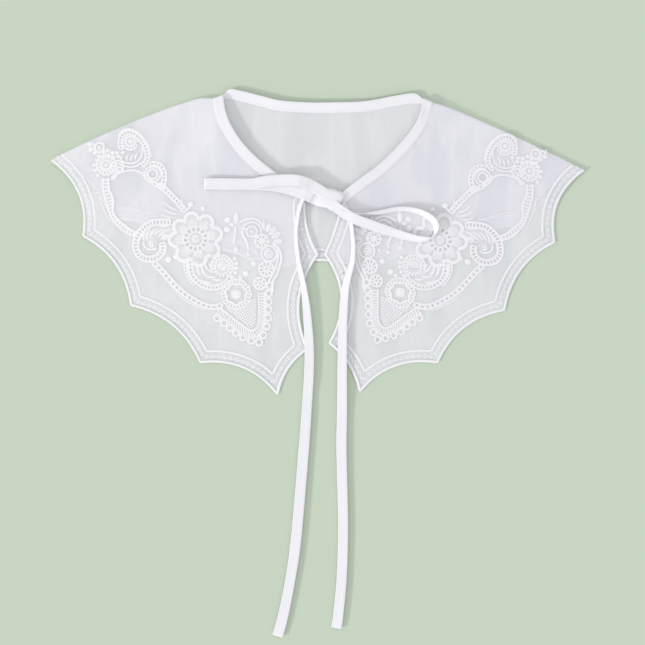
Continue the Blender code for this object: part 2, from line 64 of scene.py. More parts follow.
# Cloth and ribbon
RIBBON_WIDTH = 9.2
RIBBON = 1.0
RIBBON_SEEN = 1.2
BINDING = 1.3
SEAM = 0.3
LAYER_STEP = 1.3
REST = 0.8
TUCK = 1.6
NECK_EASE = 22.0
FOLD_EASE = 70.0
FOLD_TURN = 16.0
FOLD_TIP = 0.9
STEP_START = 6.0
STEP_END = 20.0
FREE_ROWS = 2
CENTRE_ROOM = 120.0
LEFT_FOLD_BOW = 5.1
RIGHT_FOLD_BOW = 2.2
LOOP_TURN = 0.85
LEFT_LOOP_WIDTH = 9.8
LEFT_SWELL = 3.6
RIGHT_SWELL = 1.2
SWELL_START = 8.0
SWELL_END = 70.0

# Fineness
ARC_STEPS = 14
FOLD_STEPS = 8
ROWS = 34

# Edging
RIM_WIDTH = 2.4
LINE_WIDTH = 2.0
LINE_INSET = 9.6
DOT_INSET = 5.0
DOT_PITCH = 5.0
WIDE_STROKE = 2.9
LINE_TOP = ((-21.6, 139.4), (-21.0, 142.0), (-19.2, 144.6), (-16.8, 146.6))

LEFT_FRONT = (
    # x, y, sag, neck
    (-11.9, 140.4, 3.5, 0.00),
    (-0.4, 95.0, 12.3, 0.04),
    (-9.2, 11.9, 5.3, 0.10),
    (-35.8, -28.9, 10.6, 0.18),
    (-104.1, -0.2, 10.1, 0.40),
    (-165.2, 50.2, 9.7, 0.66),
    (-207.3, 111.2, 11.0, 0.86),
    (-234.6, 177.4, 0.0, 1.00),
)
RIGHT_FRONT = (
    # x, y, sag, neck
    (19.8, 136.0, 0.9, 0.00),
    (5.5, 95.1, 12.8, 0.04),
    (9.1, 17.2, 4.8, 0.10),
    (36.2, -26.1, 10.6, 0.18),
    (104.8, -0.2, 10.1, 0.40),
    (163.7, 46.0, 9.7, 0.66),
    (208.0, 105.9, 11.0, 0.86),
    (232.9, 168.7, 0.0, 1.00),
)
BACK_HEM = (
    # x, y, sag, neck
    (-234.6, 177.4, 10.6, 0.00),
    (-182.6, 124.5, 10.1, 0.16),
    (-114.8, 97.2, 9.7, 0.30),
    (-44.4, 78.8, 11.4, 0.44),
    (44.4, 78.3, 9.7, 0.58),
    (114.0, 93.7, 10.1, 0.72),
    (180.8, 118.4, 10.6, 0.86),
    (232.9, 168.7, 0.0, 1.00),
)
NECK_LEFT = (
    # x, y, z, side, lean
    (4.4, 141.4, 3.4, 252, 8),
    (-4.2, 144.0, 3.2, 249, 8),
    (-12.3, 147.1, 3.2, 244, 8),
    (-26.0, 154.4, 3.4, 240, 8),
    (-38.3, 161.9, 3.9, 236, 8),
    (-49.7, 170.3, 4.2, 231, 6),
    (-61.2, 180.4, 4.6, 225, 6),
    (-71.7, 192.3, 5.1, 217, 6),
    (-81.0, 206.8, 5.6, 207, 6),
    (-86.2, 221.3, 5.6, 198, 4),
    (-87.6, 231.8, 5.0, 201, 0),
)
NECK_BACK = (
    # x, y, z, side, lean
    (-87.6, 231.8, 2.2, 201, 0),
    (-84.9, 234.0, 2.2, 222, 3),
    (-81.4, 235.4, 2.3, 243, 6),
    (-76.4, 235.8, 2.4, 261, 9),
    (-65.2, 233.4, 2.5, 256, 10),
    (-50.6, 229.7, 2.6, 255, 10),
    (-33.9, 225.7, 2.8, 262, 10),
    (-10.1, 224.0, 2.8, 268, 10),
    (14.3, 224.0, 2.8, 271, 10),
    (40.9, 225.0, 2.8, 276, 10),
    (63.8, 229.1, 2.6, 281, 10),
    (80.3, 231.9, 2.5, 279, 9),
    (86.6, 231.9, 2.4, 287, 6),
    (91.4, 231.0, 2.3, 310, 3),
    (95.4, 228.8, 2.2, 336, 0),
)
NECK_RIGHT = (
    # x, y, z, side, lean
    (13.2, 138.4, 3.6, 306, 8),
    (21.4, 143.8, 3.9, 306, 8),
    (26.4, 148.2, 4.0, 306, 8),
    (39.0, 157.8, 4.1, 308, 8),
    (57.4, 171.6, 4.3, 311, 8),
    (74.8, 188.9, 4.7, 319, 8),
    (87.6, 205.0, 5.0, 328, 8),
    (93.2, 216.6, 5.2, 338, 14),
    (95.4, 228.8, 5.0, 336, 0),
)
TAIL_LEFT = (
    # x, y, lean, lift, share of the width
    (-13.0, 146.0, 30, 0.0, 0.5),
    (-14.0, 142.6, 30, 0.0, 0.44),
    (-16.6, 136.2, 30, 0.0, 0.44),
    (-18.4, 127.0, 30, 0.0, 0.44),
    (-19.9, 112.2, 30, 0.0, 0.44),
    (-17.8, 90.2, 28, 0.0, 0.48),
    (-13.2, 67.3, 20, 0.3, 0.6),
    (-9.8, 40.0, 10, 0.8, 0.8),
    (-8.0, 2.2, 4, 1.2, 0.91),
    (-10.6, -45.3, 2, 1.4, 0.96),
    (-12.8, -75.2, 2, 1.6, 1.0),
    (-17.7, -134.2, 3, 1.5, 1.0),
    (-20.7, -164.1, 3, 1.5, 1.0),
    (-25.3, -194.0, 3, 1.4, 0.96),
    (-31.4, -224.0, 3, 1.2, 1.0),
    (-36.0, -240.4, 3, 0.9, 1.0),
)
TAIL_RIGHT = (
    # x, y, lean, lift, share of the width
    (20.2, 138.8, 5, 0.0, 0.7),
    (24.6, 134.0, 8, 0.0, 0.6),
    (27.2, 127.0, 14, 0.0, 0.5),
    (28.9, 119.0, 30, 0.0, 0.45),
    (29.8, 112.0, 40, 0.0, 0.45),
    (30.5, 104.0, 42, 0.0, 0.5),
    (30.3, 96.0, 42, 0.0, 0.55),
    (29.0, 86.0, 38, 0.0, 0.65),
    (24.0, 67.3, 22, 0.2, 0.76),
    (21.6, 40.0, 11, 0.8, 0.84),
    (20.9, 2.2, 7, 1.2, 0.9),
    (20.7, -45.3, 5, 1.4, 0.97),
    (20.2, -75.2, 4, 1.4, 0.98),
    (21.6, -134.2, 4, 1.4, 0.96),
    (21.4, -164.1, 4, 1.4, 0.96),
    (20.1, -194.0, 4, 1.4, 0.96),
    (17.1, -224.0, 4, 1.2, 0.98),
    (15.6, -233.3, 4, 1.0, 0.98),
)
LOOP_LEFT_UNDER = (
    # x, y, lean, lift
    (6.4, 140.4, 0, 0.0),
    (-2.4, 143.0, 0, 0.0),
    (-8.4, 146.1, 0, 0.0),
    (-20.7, 150.7, 0, 0.0),
    (-36.1, 154.6, 0, 0.0),
    (-56.8, 156.3, 0, 0.0),
    (-80.0, 156.6, 0, 0.0),
    (-99.0, 156.9, 0, 0.0),
)
LOOP_LEFT_OVER = (
    # x, y, lean, lift
    (-99.0, 156.9, 0, 0.0),
    (-80.0, 156.8, 0, 0.0),
    (-59.4, 156.5, 0, 0.0),
    (-48.8, 158.4, 0, 0.0),
    (-35.6, 159.8, 0, 0.0),
    (-21.1, 159.8, 0, 0.0),
    (-11.0, 157.3, 0, 0.0),
    (-1.0, 152.4, 0, 0.0),
    (7.6, 146.4, 0, 0.0),
)
LOOP_RIGHT = (
    # x, y, lean, lift, share of the width
    (12.4, 138.4, 4, 0.4, 1.0),
    (19.6, 133.2, 8, 0.4, 1.0),
    (30.4, 126.5, 12, 0.6, 1.0),
    (48.8, 119.7, 10, 0.2, 0.96),
    (70.8, 112.6, 12, 0.0, 0.84),
    (84.5, 108.9, 22, 0.0, 0.72),
    (94.0, 108.2, 46, 0.0, 0.62),
    (100.4, 110.6, 98, 0.0, 0.42),
    (103.3, 117.4, 130, 0.0, 0.7),
    (101.2, 124.1, 138, 0.0, 0.74),
    (94.1, 129.7, 140, 0.0, 0.7),
    (84.0, 133.7, 138, 0.0, 0.62),
    (69.8, 134.7, 136, 0.0, 0.54),
    (55.0, 132.0, 134, 0.0, 0.5),
    (42.7, 130.1, 128, 0.0, 0.42),
    (33.0, 129.8, 128, 0.0, 0.4),
    (26.0, 130.4, 132, 0.0, 0.4),
    (19.6, 132.6, 136, 0.0, 0.4),
)
KNOT = {"x": 10.2, "y": 142.9, "long": 9.2, "wide": 9.6, "turn": -34, "height": 4.4}



# Camera, light and floor

def set_camera():
    """The camera straight above the collar."""
    data = bpy.data.cameras.new("camera")
    data.lens = LENS
    data.sensor_width = SENSOR
    camera = bpy.data.objects.new("camera", data)
    distance = VIEW_WIDTH / SENSOR * LENS
    camera.location = (VIEW_MIDDLE[0] * MM, VIEW_MIDDLE[1] * MM, distance * MM)
    data.clip_start = 0.01
    data.clip_end = 50.0
    bpy.context.scene.collection.objects.link(camera)
    bpy.context.scene.camera = camera


def set_light():
    """A soft lamp low on the left and even white light from all round."""
    lamp = bpy.data.lights.new("key", "SUN")
    lamp.energy = KEY_SHARE * math.pi / math.sin(math.radians(KEY_HEIGHT))
    lamp.angle = math.radians(KEY_SOFTNESS)
    key = bpy.data.objects.new("key", lamp)
    height = math.radians(KEY_HEIGHT)
    turn = math.radians(KEY_TURN)
    travel = Vector((math.cos(height) * math.cos(turn), math.cos(height) * math.sin(turn),
                     -math.sin(height)))
    key.rotation_mode = "QUATERNION"
    key.rotation_quaternion = travel.to_track_quat("-Z", "Y")
    key.location = travel * -2
    bpy.context.scene.collection.objects.link(key)
    world = bpy.data.worlds.new("studio")
    world.use_nodes = True
    background = world.node_tree.nodes["Background"]
    background.inputs["Color"].default_value = (1.0, 1.0, 1.0, 1.0)
    background.inputs["Strength"].default_value = 1.0 - KEY_SHARE
    bpy.context.scene.world = world
    bpy.context.scene.view_settings.view_transform = "Standard"


# Shared effects and finishes

def new_group(name, inputs, outputs):
    """An empty shader node group with named sockets, and its two end nodes."""
    group = bpy.data.node_groups.new(name, "ShaderNodeTree")
    for socket, kind, value in inputs:
        made = group.interface.new_socket(name=socket, in_out="INPUT", socket_type=kind)
        if value is not None:
            made.default_value = value
    for socket, kind in outputs:
        group.interface.new_socket(name=socket, in_out="OUTPUT", socket_type=kind)
    return group, group.nodes.new("NodeGroupInput"), group.nodes.new("NodeGroupOutput")


def math_node(tree, operation, first, second=None, third=None):
    """A math node fed by sockets or plain numbers."""
    node = tree.nodes.new("ShaderNodeMath")
    node.operation = operation
    for place, value in enumerate((first, second, third)):
        if value is None:
            continue
        if isinstance(value, (int, float)):
            node.inputs[place].default_value = value
        else:
            tree.links.new(value, node.inputs[place])
    return node.outputs[0]


def thread_grid_group():
    """Plain weave: two crossing sets of fine threads, with its height and its open gaps."""
    group, given, result = new_group(
        "thread_grid",
        (("Place", "NodeSocketVector", None), ("Pitch", "NodeSocketFloat", 0.0004)),
        (("Height", "NodeSocketFloat"), ("Gap", "NodeSocketFloat")))
    split = group.nodes.new("ShaderNodeSeparateXYZ")
    group.links.new(given.outputs["Place"], split.inputs[0])
    waves = []
    for axis in ("X", "Y"):
        turned = math_node(group, "DIVIDE", split.outputs[axis], given.outputs["Pitch"])
        turned = math_node(group, "MULTIPLY", turned, 2 * math.pi)
        waves.append(math_node(group, "COSINE", turned))
    warp = math_node(group, "MULTIPLY_ADD", waves[0], 0.5, 0.5)
    weft = math_node(group, "MULTIPLY_ADD", waves[1], 0.5, 0.5)
    height = math_node(group, "MAXIMUM", warp, weft)
    group.links.new(height, result.inputs["Height"])
    gap = math_node(group, "SUBTRACT", 1.0, height)
    group.links.new(gap, result.inputs["Gap"])
    return group


def soft_clouds_group():
    """Slow, faint unevenness of cloth, from 0 to 1, with a fine part for close views."""
    group, given, result = new_group(
        "soft_clouds",
        (("Place", "NodeSocketVector", None), ("Slow", "NodeSocketFloat", 12.0),
         ("Fine", "NodeSocketFloat", 900.0)),
        (("Cloud", "NodeSocketFloat"), ("Grain", "NodeSocketFloat")))
    for socket, output, detail in (("Slow", "Cloud", 3.0), ("Fine", "Grain", 2.0)):
        noise = group.nodes.new("ShaderNodeTexNoise")
        noise.inputs["Detail"].default_value = detail
        group.links.new(given.outputs["Place"], noise.inputs["Vector"])
        group.links.new(given.outputs[socket], noise.inputs["Scale"])
        group.links.new(noise.outputs["Fac"], result.inputs[output])
    return group


def laid_stitches_group():
    """Threads laid side by side across a stitch: their height, and their tone with painted shade in the
    grooves between threads.
    """
    group, given, result = new_group(
        "laid_stitches",
        (("Run", "NodeSocketFloat", 0.0), ("Pitch", "NodeSocketFloat", 0.00045)),
        (("Height", "NodeSocketFloat"), ("Groove_Shaded_Tone", "NodeSocketFloat")))
    turned = math_node(group, "DIVIDE", given.outputs["Run"], given.outputs["Pitch"])
    turned = math_node(group, "MULTIPLY", turned, 2 * math.pi)
    wave = math_node(group, "COSINE", turned)
    height = math_node(group, "MULTIPLY_ADD", wave, 0.5, 0.5)
    group.links.new(height, result.inputs["Height"])
    # Painted shade: the tone falls from the thread crowns into the grooves between them.
    tone = math_node(group, "POWER", height, 0.5)
    group.links.new(tone, result.inputs["Groove_Shaded_Tone"])
    return group


def place_group(tree, group, **values):
    """A group in a material, with its own values or links."""
    node = tree.nodes.new("ShaderNodeGroup")
    node.node_tree = group
    for name, value in values.items():
        if isinstance(value, (int, float)):
            node.inputs[name].default_value = value
        else:
            tree.links.new(value, node.inputs[name])
    return node.outputs


def two_tones(tree, factor, dark, light):
    """A colour between two tones."""
    mix = tree.nodes.new("ShaderNodeMix")
    mix.data_type = "RGBA"
    tree.links.new(factor, mix.inputs["Factor"])
    mix.inputs["A"].default_value = (*dark, 1.0)
    mix.inputs["B"].default_value = (*light, 1.0)
    return mix.outputs["Result"]


def bump(tree, height, distance, strength):
    """A bump node's normal."""
    node = tree.nodes.new("ShaderNodeBump")
    node.inputs["Distance"].default_value = distance
    node.inputs["Strength"].default_value = strength
    tree.links.new(height, node.inputs["Height"])
    return node.outputs["Normal"]


def new_finish(name, roughness, specular):
    """A material with its shader's plain values set."""
    material = bpy.data.materials.new(name)
    material.use_nodes = True
    shader = material.node_tree.nodes["Principled BSDF"]
    shader.inputs["Roughness"].default_value = roughness
    shader.inputs["Specular IOR Level"].default_value = specular
    return material, material.node_tree, shader


def organza_finish(groups):
    """Sheer crisp organza: a fine grid of white threads that the layer below shows through, its colour
    with painted light (lighter on the left, darker on the right) and painted crease shade and
    highlights.
    """
    material, tree, shader = new_finish("sheer_organza", 0.62, 0.25)
    place = tree.nodes.new("ShaderNodeTexCoord").outputs["Object"]
    weave = place_group(tree, groups["grid"], Place=place, Pitch=0.00042)
    clouds = place_group(tree, groups["clouds"], Place=place, Slow=11.0, Fine=420.0)
    split = tree.nodes.new("ShaderNodeSeparateXYZ")
    tree.links.new(place, split.inputs[0])
    drawn = tree.nodes.new("ShaderNodeMapping")
    drawn.inputs["Rotation"].default_value = (0.0, 0.0, 0.35)
    drawn.inputs["Scale"].default_value = (1.0, 0.28, 1.0)
    tree.links.new(place, drawn.inputs["Vector"])
    # Painted shade: streaks stretched one way stand in the colour for the shading of soft creases.
    crease_shading = place_group(tree, groups["clouds"], Place=drawn.outputs[0], Slow=30.0, Fine=120.0)
    # Painted highlight: thin lighter lines along the middle of those crease streaks.
    crease_highlight = math_node(tree, "ABSOLUTE", math_node(tree, "SUBTRACT", crease_shading["Cloud"], 0.5))
    crease_highlight = math_node(tree, "MAXIMUM", math_node(tree, "MULTIPLY_ADD", crease_highlight, -16.0, 1.0), 0.0)
    # Painted light: the cloth is lighter on the left side and darker on the right, as if lit from the
    # left; slow clouds add random tone.
    painted_light_and_clouds = math_node(tree, "MULTIPLY_ADD", split.outputs["X"], -0.9, -0.52)
    painted_light_and_clouds = math_node(tree, "MULTIPLY_ADD", crease_highlight, 0.32, painted_light_and_clouds)
    painted_light_and_clouds = math_node(tree, "MULTIPLY_ADD", clouds["Cloud"], 0.4, painted_light_and_clouds)
    painted_light_and_clouds = math_node(tree, "MULTIPLY_ADD", crease_shading["Cloud"], 1.6, painted_light_and_clouds)
    colour = two_tones(tree, painted_light_and_clouds, (0.822, 0.822, 0.900), (0.955, 0.948, 1.0))
    tree.links.new(colour, shader.inputs["Base Color"])
    cover = math_node(tree, "MULTIPLY_ADD", clouds["Cloud"], 0.12, 0.655)
    cover = math_node(tree, "MULTIPLY_ADD", clouds["Grain"], 0.05, cover)
    cover = math_node(tree, "MULTIPLY_ADD", weave["Gap"], -0.10, cover)
    light = tree.nodes.new("ShaderNodeLightPath")
    passing = math_node(tree, "MAXIMUM", light.outputs["Is Shadow Ray"],
                        light.outputs["Is Diffuse Ray"])
    share = math_node(tree, "MULTIPLY_ADD", passing, -0.35, 1.0)
    alpha = math_node(tree, "MULTIPLY", cover, share)
    tree.links.new(alpha, shader.inputs["Alpha"])
    normal = bump(tree, weave["Height"], 0.00008, 0.5)
    tree.links.new(normal, shader.inputs["Normal"])
    return material


def thread_finish(groups, name, dark, light, pitch, roughness, cover=1.0):
    """White rayon thread in laid stitches, a little glossy; cover below 1 leaves it open."""
    material, tree, shader = new_finish(name, roughness, 0.3)
    coordinates = tree.nodes.new("ShaderNodeTexCoord")
    split = tree.nodes.new("ShaderNodeSeparateXYZ")
    tree.links.new(coordinates.outputs["UV"], split.inputs[0])
    laid = place_group(tree, groups["stitches"], Run=split.outputs["Y"], Pitch=pitch)
    clouds = place_group(tree, groups["clouds"], Place=coordinates.outputs["Object"], Slow=60.0,
                         Fine=1500.0)
    along = tree.nodes.new("ShaderNodeSeparateXYZ")
    tree.links.new(coordinates.outputs["Object"], along.inputs[0])
    # Painted light: the thread is lighter on the left side and darker on the right, as if lit from the
    # left; the laid tone adds painted shade in the grooves between threads.
    tone = math_node(tree, "MULTIPLY_ADD", along.outputs["X"], -1.4, 0.13)
    tone = math_node(tree, "MULTIPLY_ADD", laid["Groove_Shaded_Tone"], 0.25, tone)
    tone = math_node(tree, "MULTIPLY_ADD", clouds["Grain"], 0.15, tone)
    tree.links.new(two_tones(tree, tone, dark, light), shader.inputs["Base Color"])
    height = math_node(tree, "MULTIPLY_ADD", clouds["Grain"], 0.4, laid["Height"])
    tree.links.new(bump(tree, height, 0.00006, 0.5), shader.inputs["Normal"])
    if cover < 1:
        alpha = math_node(tree, "MULTIPLY_ADD", laid["Height"], 0.3, cover - 0.15)
        tree.links.new(alpha, shader.inputs["Alpha"])
    return material


def ribbon_finish(groups):
    """Folded woven tape: fine weave, a stitched line near each edge with painted shade in its groove,
    and slightly fuller edges.
    """
    material, tree, shader = new_finish("white_tape", 0.55, 0.3)
    coordinates = tree.nodes.new("ShaderNodeTexCoord")
    weave = place_group(tree, groups["grid"], Place=coordinates.outputs["UV"], Pitch=0.00055)
    clouds = place_group(tree, groups["clouds"], Place=coordinates.outputs["Object"], Slow=35.0,
                         Fine=700.0)
    split = tree.nodes.new("ShaderNodeSeparateXYZ")
    tree.links.new(coordinates.outputs["UV"], split.inputs[0])
    edge = math_node(tree, "ABSOLUTE", split.outputs["X"])
    off = math_node(tree, "SUBTRACT", edge, 0.0033)
    off = math_node(tree, "ABSOLUTE", off)
    seam = math_node(tree, "DIVIDE", off, 0.00045)
    seam = math_node(tree, "MINIMUM", seam, 1.0)
    run = math_node(tree, "DIVIDE", split.outputs["Y"], 0.0024)
    run = math_node(tree, "FRACT", run)
    run = math_node(tree, "LESS_THAN", run, 0.72)
    stitch_groove = math_node(tree, "SUBTRACT", 1.0, seam)
    stitch_groove = math_node(tree, "MULTIPLY", stitch_groove, math_node(tree, "MULTIPLY_ADD", run, -0.5, 1.0))
    tone = math_node(tree, "MULTIPLY_ADD", clouds["Cloud"], 0.5, 0.35)
    tone = math_node(tree, "MULTIPLY_ADD", clouds["Grain"], 0.2, tone)
    # Painted shade: the tape is darker along the stitch line's groove, most between the stitches.
    tone = math_node(tree, "MULTIPLY_ADD", stitch_groove, -0.6, tone)
    colour = two_tones(tree, tone, (0.810, 0.802, 0.858), (0.905, 0.897, 0.940))
    tree.links.new(colour, shader.inputs["Base Color"])
    height = math_node(tree, "MULTIPLY_ADD", weave["Height"], 0.3, 0.0)
    height = math_node(tree, "MULTIPLY_ADD", stitch_groove, -1.6, height)
    tree.links.new(bump(tree, height, 0.00015, 0.6), shader.inputs["Normal"])
    return material


def table_finish(groups):
    """Plain pale sage card."""
    material, tree, shader = new_finish("sage_table", 0.9, 0.1)
    place = tree.nodes.new("ShaderNodeTexCoord").outputs["Object"]
    clouds = place_group(tree, groups["clouds"], Place=place, Slow=3.0, Fine=800.0)
    tone = math_node(tree, "MULTIPLY_ADD", clouds["Grain"], 0.5, 0.25)
    colour = two_tones(tree, tone, (0.578, 0.666, 0.546), (0.590, 0.678, 0.558))
    tree.links.new(colour, shader.inputs["Base Color"])
    tree.links.new(bump(tree, clouds["Grain"], 0.00005, 0.3), shader.inputs["Normal"])
    return material


# Curves and sections

def spline(rows, steps):
    """Smooth curve through table rows, every column alike, with steps points to a row."""
    table = np.array(rows, dtype=float)
    ends = np.vstack((2 * table[0] - table[1], table, 2 * table[-1] - table[-2]))
    points = []
    for row in range(1, len(ends) - 2):
        a, b, c, d = ends[row - 1:row + 3]
        for step in range(steps):
            t = step / steps
            bend = (2 * a - 5 * b + 4 * c - d) * t * t + (3 * b - a - 3 * c + d) * t ** 3
            points.append(0.5 * (2 * b + (c - a) * t + bend))
    points.append(table[-1])
    return np.array(points)


def shares_along(points):
    """Share of the length reached at each point of a curve seen from above."""
    steps = np.hypot(*np.diff(points[:, :2], axis=0).T)
    reached = np.concatenate(([0.0], np.cumsum(steps)))
    return reached / reached[-1]


def at_share(points, share):
    """All columns of a curve at a share of its length."""
    shares = shares_along(points)
    return np.array([np.interp(share, shares, column) for column in points.T])


def evenly(points, spacing):
    """The same curve with its points evenly apart."""
    points = np.array(points, dtype=float)
    steps = np.hypot(*np.diff(points[:, :2], axis=0).T)
    reached = np.concatenate(([0.0], np.cumsum(steps)))
    count = max(2, int(round(reached[-1] / spacing)) + 1)
    wanted = np.linspace(0.0, reached[-1], count)
    return np.array([np.interp(wanted, reached, column) for column in points.T]).T


def side_ways(points):
    """Unit directions to the left of a curve at each of its points."""
    run = np.gradient(np.array(points, dtype=float)[:, :2], axis=0)
    run = run / np.maximum(np.hypot(run[:, 0], run[:, 1]), 1e-9)[:, None]
    return np.column_stack((-run[:, 1], run[:, 0]))


def scallops(table, side, steps):
    """One list of outline points and neck shares to each scallop of an edge."""
    arcs = []
    for row, following in zip(table, table[1:]):
        start = np.array(row[:2])
        chord = np.array(following[:2]) - start
        into = side * np.array((-chord[1], chord[0])) / np.hypot(*chord)
        arc = []
        for step in range(steps + 1):
            t = step / steps
            spot = start + chord * t + into * row[2] * 4 * t * (1 - t)
            arc.append((spot[0], spot[1], row[3] + (following[3] - row[3]) * t))
        arcs.append(arc)
    return arcs


def scalloped_edge(table, side, steps=ARC_STEPS):
    """Outline points and neck shares of a whole scalloped edge."""
    edge = [spot for arc in scallops(table, side, steps) for spot in arc[:-1]]
    last = table[-1]
    return edge + [(last[0], last[1], last[3])]


def neck_frame(row):
    """Middle point of the binding and the direction of its cloth side."""
    x, y, z, side, lean = row
    across = math.cos(math.radians(lean))
    angle = math.radians(side)
    return Vector((x, y, z)), Vector((across * math.cos(angle), across * math.sin(angle),
                                      -math.sin(math.radians(lean))))


def cloth_start(row):
    """Where the organza comes out of the binding."""
    middle, way = neck_frame(row)
    return middle + way * (RIBBON_WIDTH / 2 - TUCK)


def fall(distance, reach):
    """Smooth fall from 1 to 0 over a distance."""
    return math.exp(-(distance / reach) ** 2)


def distance_to_edge(spot, edge):
    """Shortest distance from a spot to an outline, and whether the spot is inside it."""
    best = 1e9
    inside = False
    for a, b in zip(edge, edge[1:] + edge[:1]):
        line = b - a
        t = max(0.0, min(1.0, (spot - a).dot(line) / max(line.length_squared, 1e-9)))
        best = min(best, (spot - a - line * t).length)
        if (a.y > spot.y) != (b.y > spot.y):
            if spot.x < a.x + (spot.y - a.y) * line.x / line.y:
                inside = not inside
    return best, inside


def layer_share(spot, back_outline):
    """1 where the cloth lies on the back, falling to 0 beyond its hem."""
    distance, inside = distance_to_edge(spot, back_outline)
    if inside or distance < STEP_START:
        return 1.0
    t = min(1.0, (distance - STEP_START) / (STEP_END - STEP_START))
    return 1.0 - t * t * (3 - 2 * t)


def row_shares():
    """Shares from neck to edge, closer together near the neck."""
    even = np.linspace(0.0, 1.0, ROWS)
    return even ** 1.35


def fold_profile(front_neck, back_neck, tip, bow, side):
    """Rows along a shoulder fold: place of the axis, top height, bottom height and way out."""
    start = cloth_start(front_neck)
    top_at_neck = start.z
    bottom_at_neck = back_neck[2]
    radius_at_neck = (top_at_neck - bottom_at_neck) / 2
    run = Vector((tip[0] - start.x, tip[1] - start.y))
    out = Vector((run.y, -run.x)).normalized() * side
    rows = []
    for share in row_shares():
        along = run.length * share
        spot = start.xy + run * share + out * bow * 4 * share * (1 - share)
        bottom = REST + (bottom_at_neck - REST) * fall(along, NECK_EASE)
        radius = FOLD_TIP + (radius_at_neck - FOLD_TIP) * fall(along, FOLD_EASE)
        rows.append((spot, bottom + 2 * radius, bottom, out))
    return rows


def ease(x, y):
    """Soft unevenness of cloth lying on a table, in height."""
    wave = math.sin(x / 17.0 + 0.6 * math.sin(y / 29.0)) * math.sin(y / 23.0 + 1.3)
    wave += 0.6 * math.sin((x * 0.7 - y) / 31.0 + 2.1)
    return 0.16 * wave


def keep_inside(spot, share, side, centre):
    """Moves a point of the cloth off the hollows that the scalloped centre edge leaves."""
    heights = [y for x, y, own in centre]
    if not heights[0] < spot.y < heights[-1]:
        return
    edge = float(np.interp(spot.y, heights, [x for x, y, own in centre]))
    own = float(np.interp(spot.y, heights, [own for x, y, own in centre]))
    if share > own:
        room = CENTRE_ROOM * (share - own) * min(1.0, (heights[-1] - spot.y) / 90)
        spot.x = side * max(side * spot.x, side * edge + room)


def front_sections(table, neck_rows, side, fold, bow, back_outline):
    """Sections of one front from the centre to the shoulder fold."""
    neck = spline(neck_rows, 10)
    first = FREE_ROWS * 10
    sections = []
    hem = scalloped_edge(table, side)
    centre = [tuple(row) for row in hem if row[2] <= table[2][3] + 1e-6][::-1]
    for x, y, share in hem:
        start = cloth_start(at_share(neck[first:], share))
        run = Vector((x, y)) - start.xy
        base_at_neck = REST + LAYER_STEP * layer_share(start.xy, back_outline)
        bulge = bow * max(0.0, 1 - (1 - share) / 0.3)
        points = []
        for row_share, (axis, top, bottom, out) in zip(row_shares(), fold):
            spot = start.xy + run * row_share + out * bulge * 4 * row_share * (1 - row_share)
            keep_inside(spot, share, side, centre)
            along = run.length * row_share
            height = REST + LAYER_STEP * layer_share(spot, back_outline)
            height += (start.z - base_at_neck) * fall(along, NECK_EASE)
            turn = fall((spot - axis).length, FOLD_TURN)
            height += (top - height) * turn if top > height else 0.0
            height += ease(spot.x, spot.y) * (1 - turn) * (1 - fall(along, 12.0))
            points.append(Vector((spot.x, spot.y, height)))
        sections.append(points)
    return sections


def fold_sections(fold, swell):
    """Half-round sections from the front, round the fold, to the back."""
    sections = []
    start = fold[0][0]
    for step in range(1, FOLD_STEPS):
        angle = math.pi / 2 - math.pi * step / FOLD_STEPS
        points = []
        for axis, top, bottom, out in fold:
            radius = (top - bottom) / 2
            along = (axis - start).length
            wide = radius + swell * (1 - fall(along, SWELL_START)) * fall(along, SWELL_END)
            spot = axis + out * wide * math.cos(angle)
            points.append(Vector((spot.x, spot.y, (top + bottom) / 2 + radius * math.sin(angle))))
        sections.append(points)
    return sections


def back_sections(left_fold, right_fold):
    """Sections of the back from the left fold to the right fold."""
    neck = spline(NECK_BACK, 10)
    sections = []
    for x, y, share in scalloped_edge(BACK_HEM, 1):
        start = cloth_start(at_share(neck, share))
        run = Vector((x, y)) - start.xy
        points = []
        for number, row_share in enumerate(row_shares()):
            spot = start.xy + run * row_share
            for fold, bow, reach in ((left_fold, LEFT_FOLD_BOW, share),
                                     (right_fold, RIGHT_FOLD_BOW, 1 - share)):
                bulge = bow * max(0.0, 1 - reach / 0.3)
                spot = spot + fold[number][3] * bulge * 4 * row_share * (1 - row_share)
            along = run.length * row_share
            height = REST + (start.z - REST) * fall(along, NECK_EASE)
            flat = 4 * min(share, 1 - share, 0.25)
            height += ease(spot.x, spot.y) * flat * (1 - fall(along, 12.0))
            points.append(Vector((spot.x, spot.y, height)))
        sections.append(points)
    return sections


# Meshes

def into_place(mesh):
    """Take a mesh drawn in millimetres on the table to its place in metres."""
    shift = Matrix.Translation((-MIDDLE[0] * MM, -MIDDLE[1] * MM, 0.0))
    mesh.transform(shift @ Matrix.Scale(MM, 4))


def add_piece(name, mesh, material):
    """Link a finished mesh as a piece that rides on the collar."""
    mesh.materials.clear()
    mesh.materials.append(material)
    for face in mesh.polygons:
        face.use_smooth = True
    piece = bpy.data.objects.new(name, mesh)
    bpy.context.scene.collection.objects.link(piece)
    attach(piece, "root")
    return piece


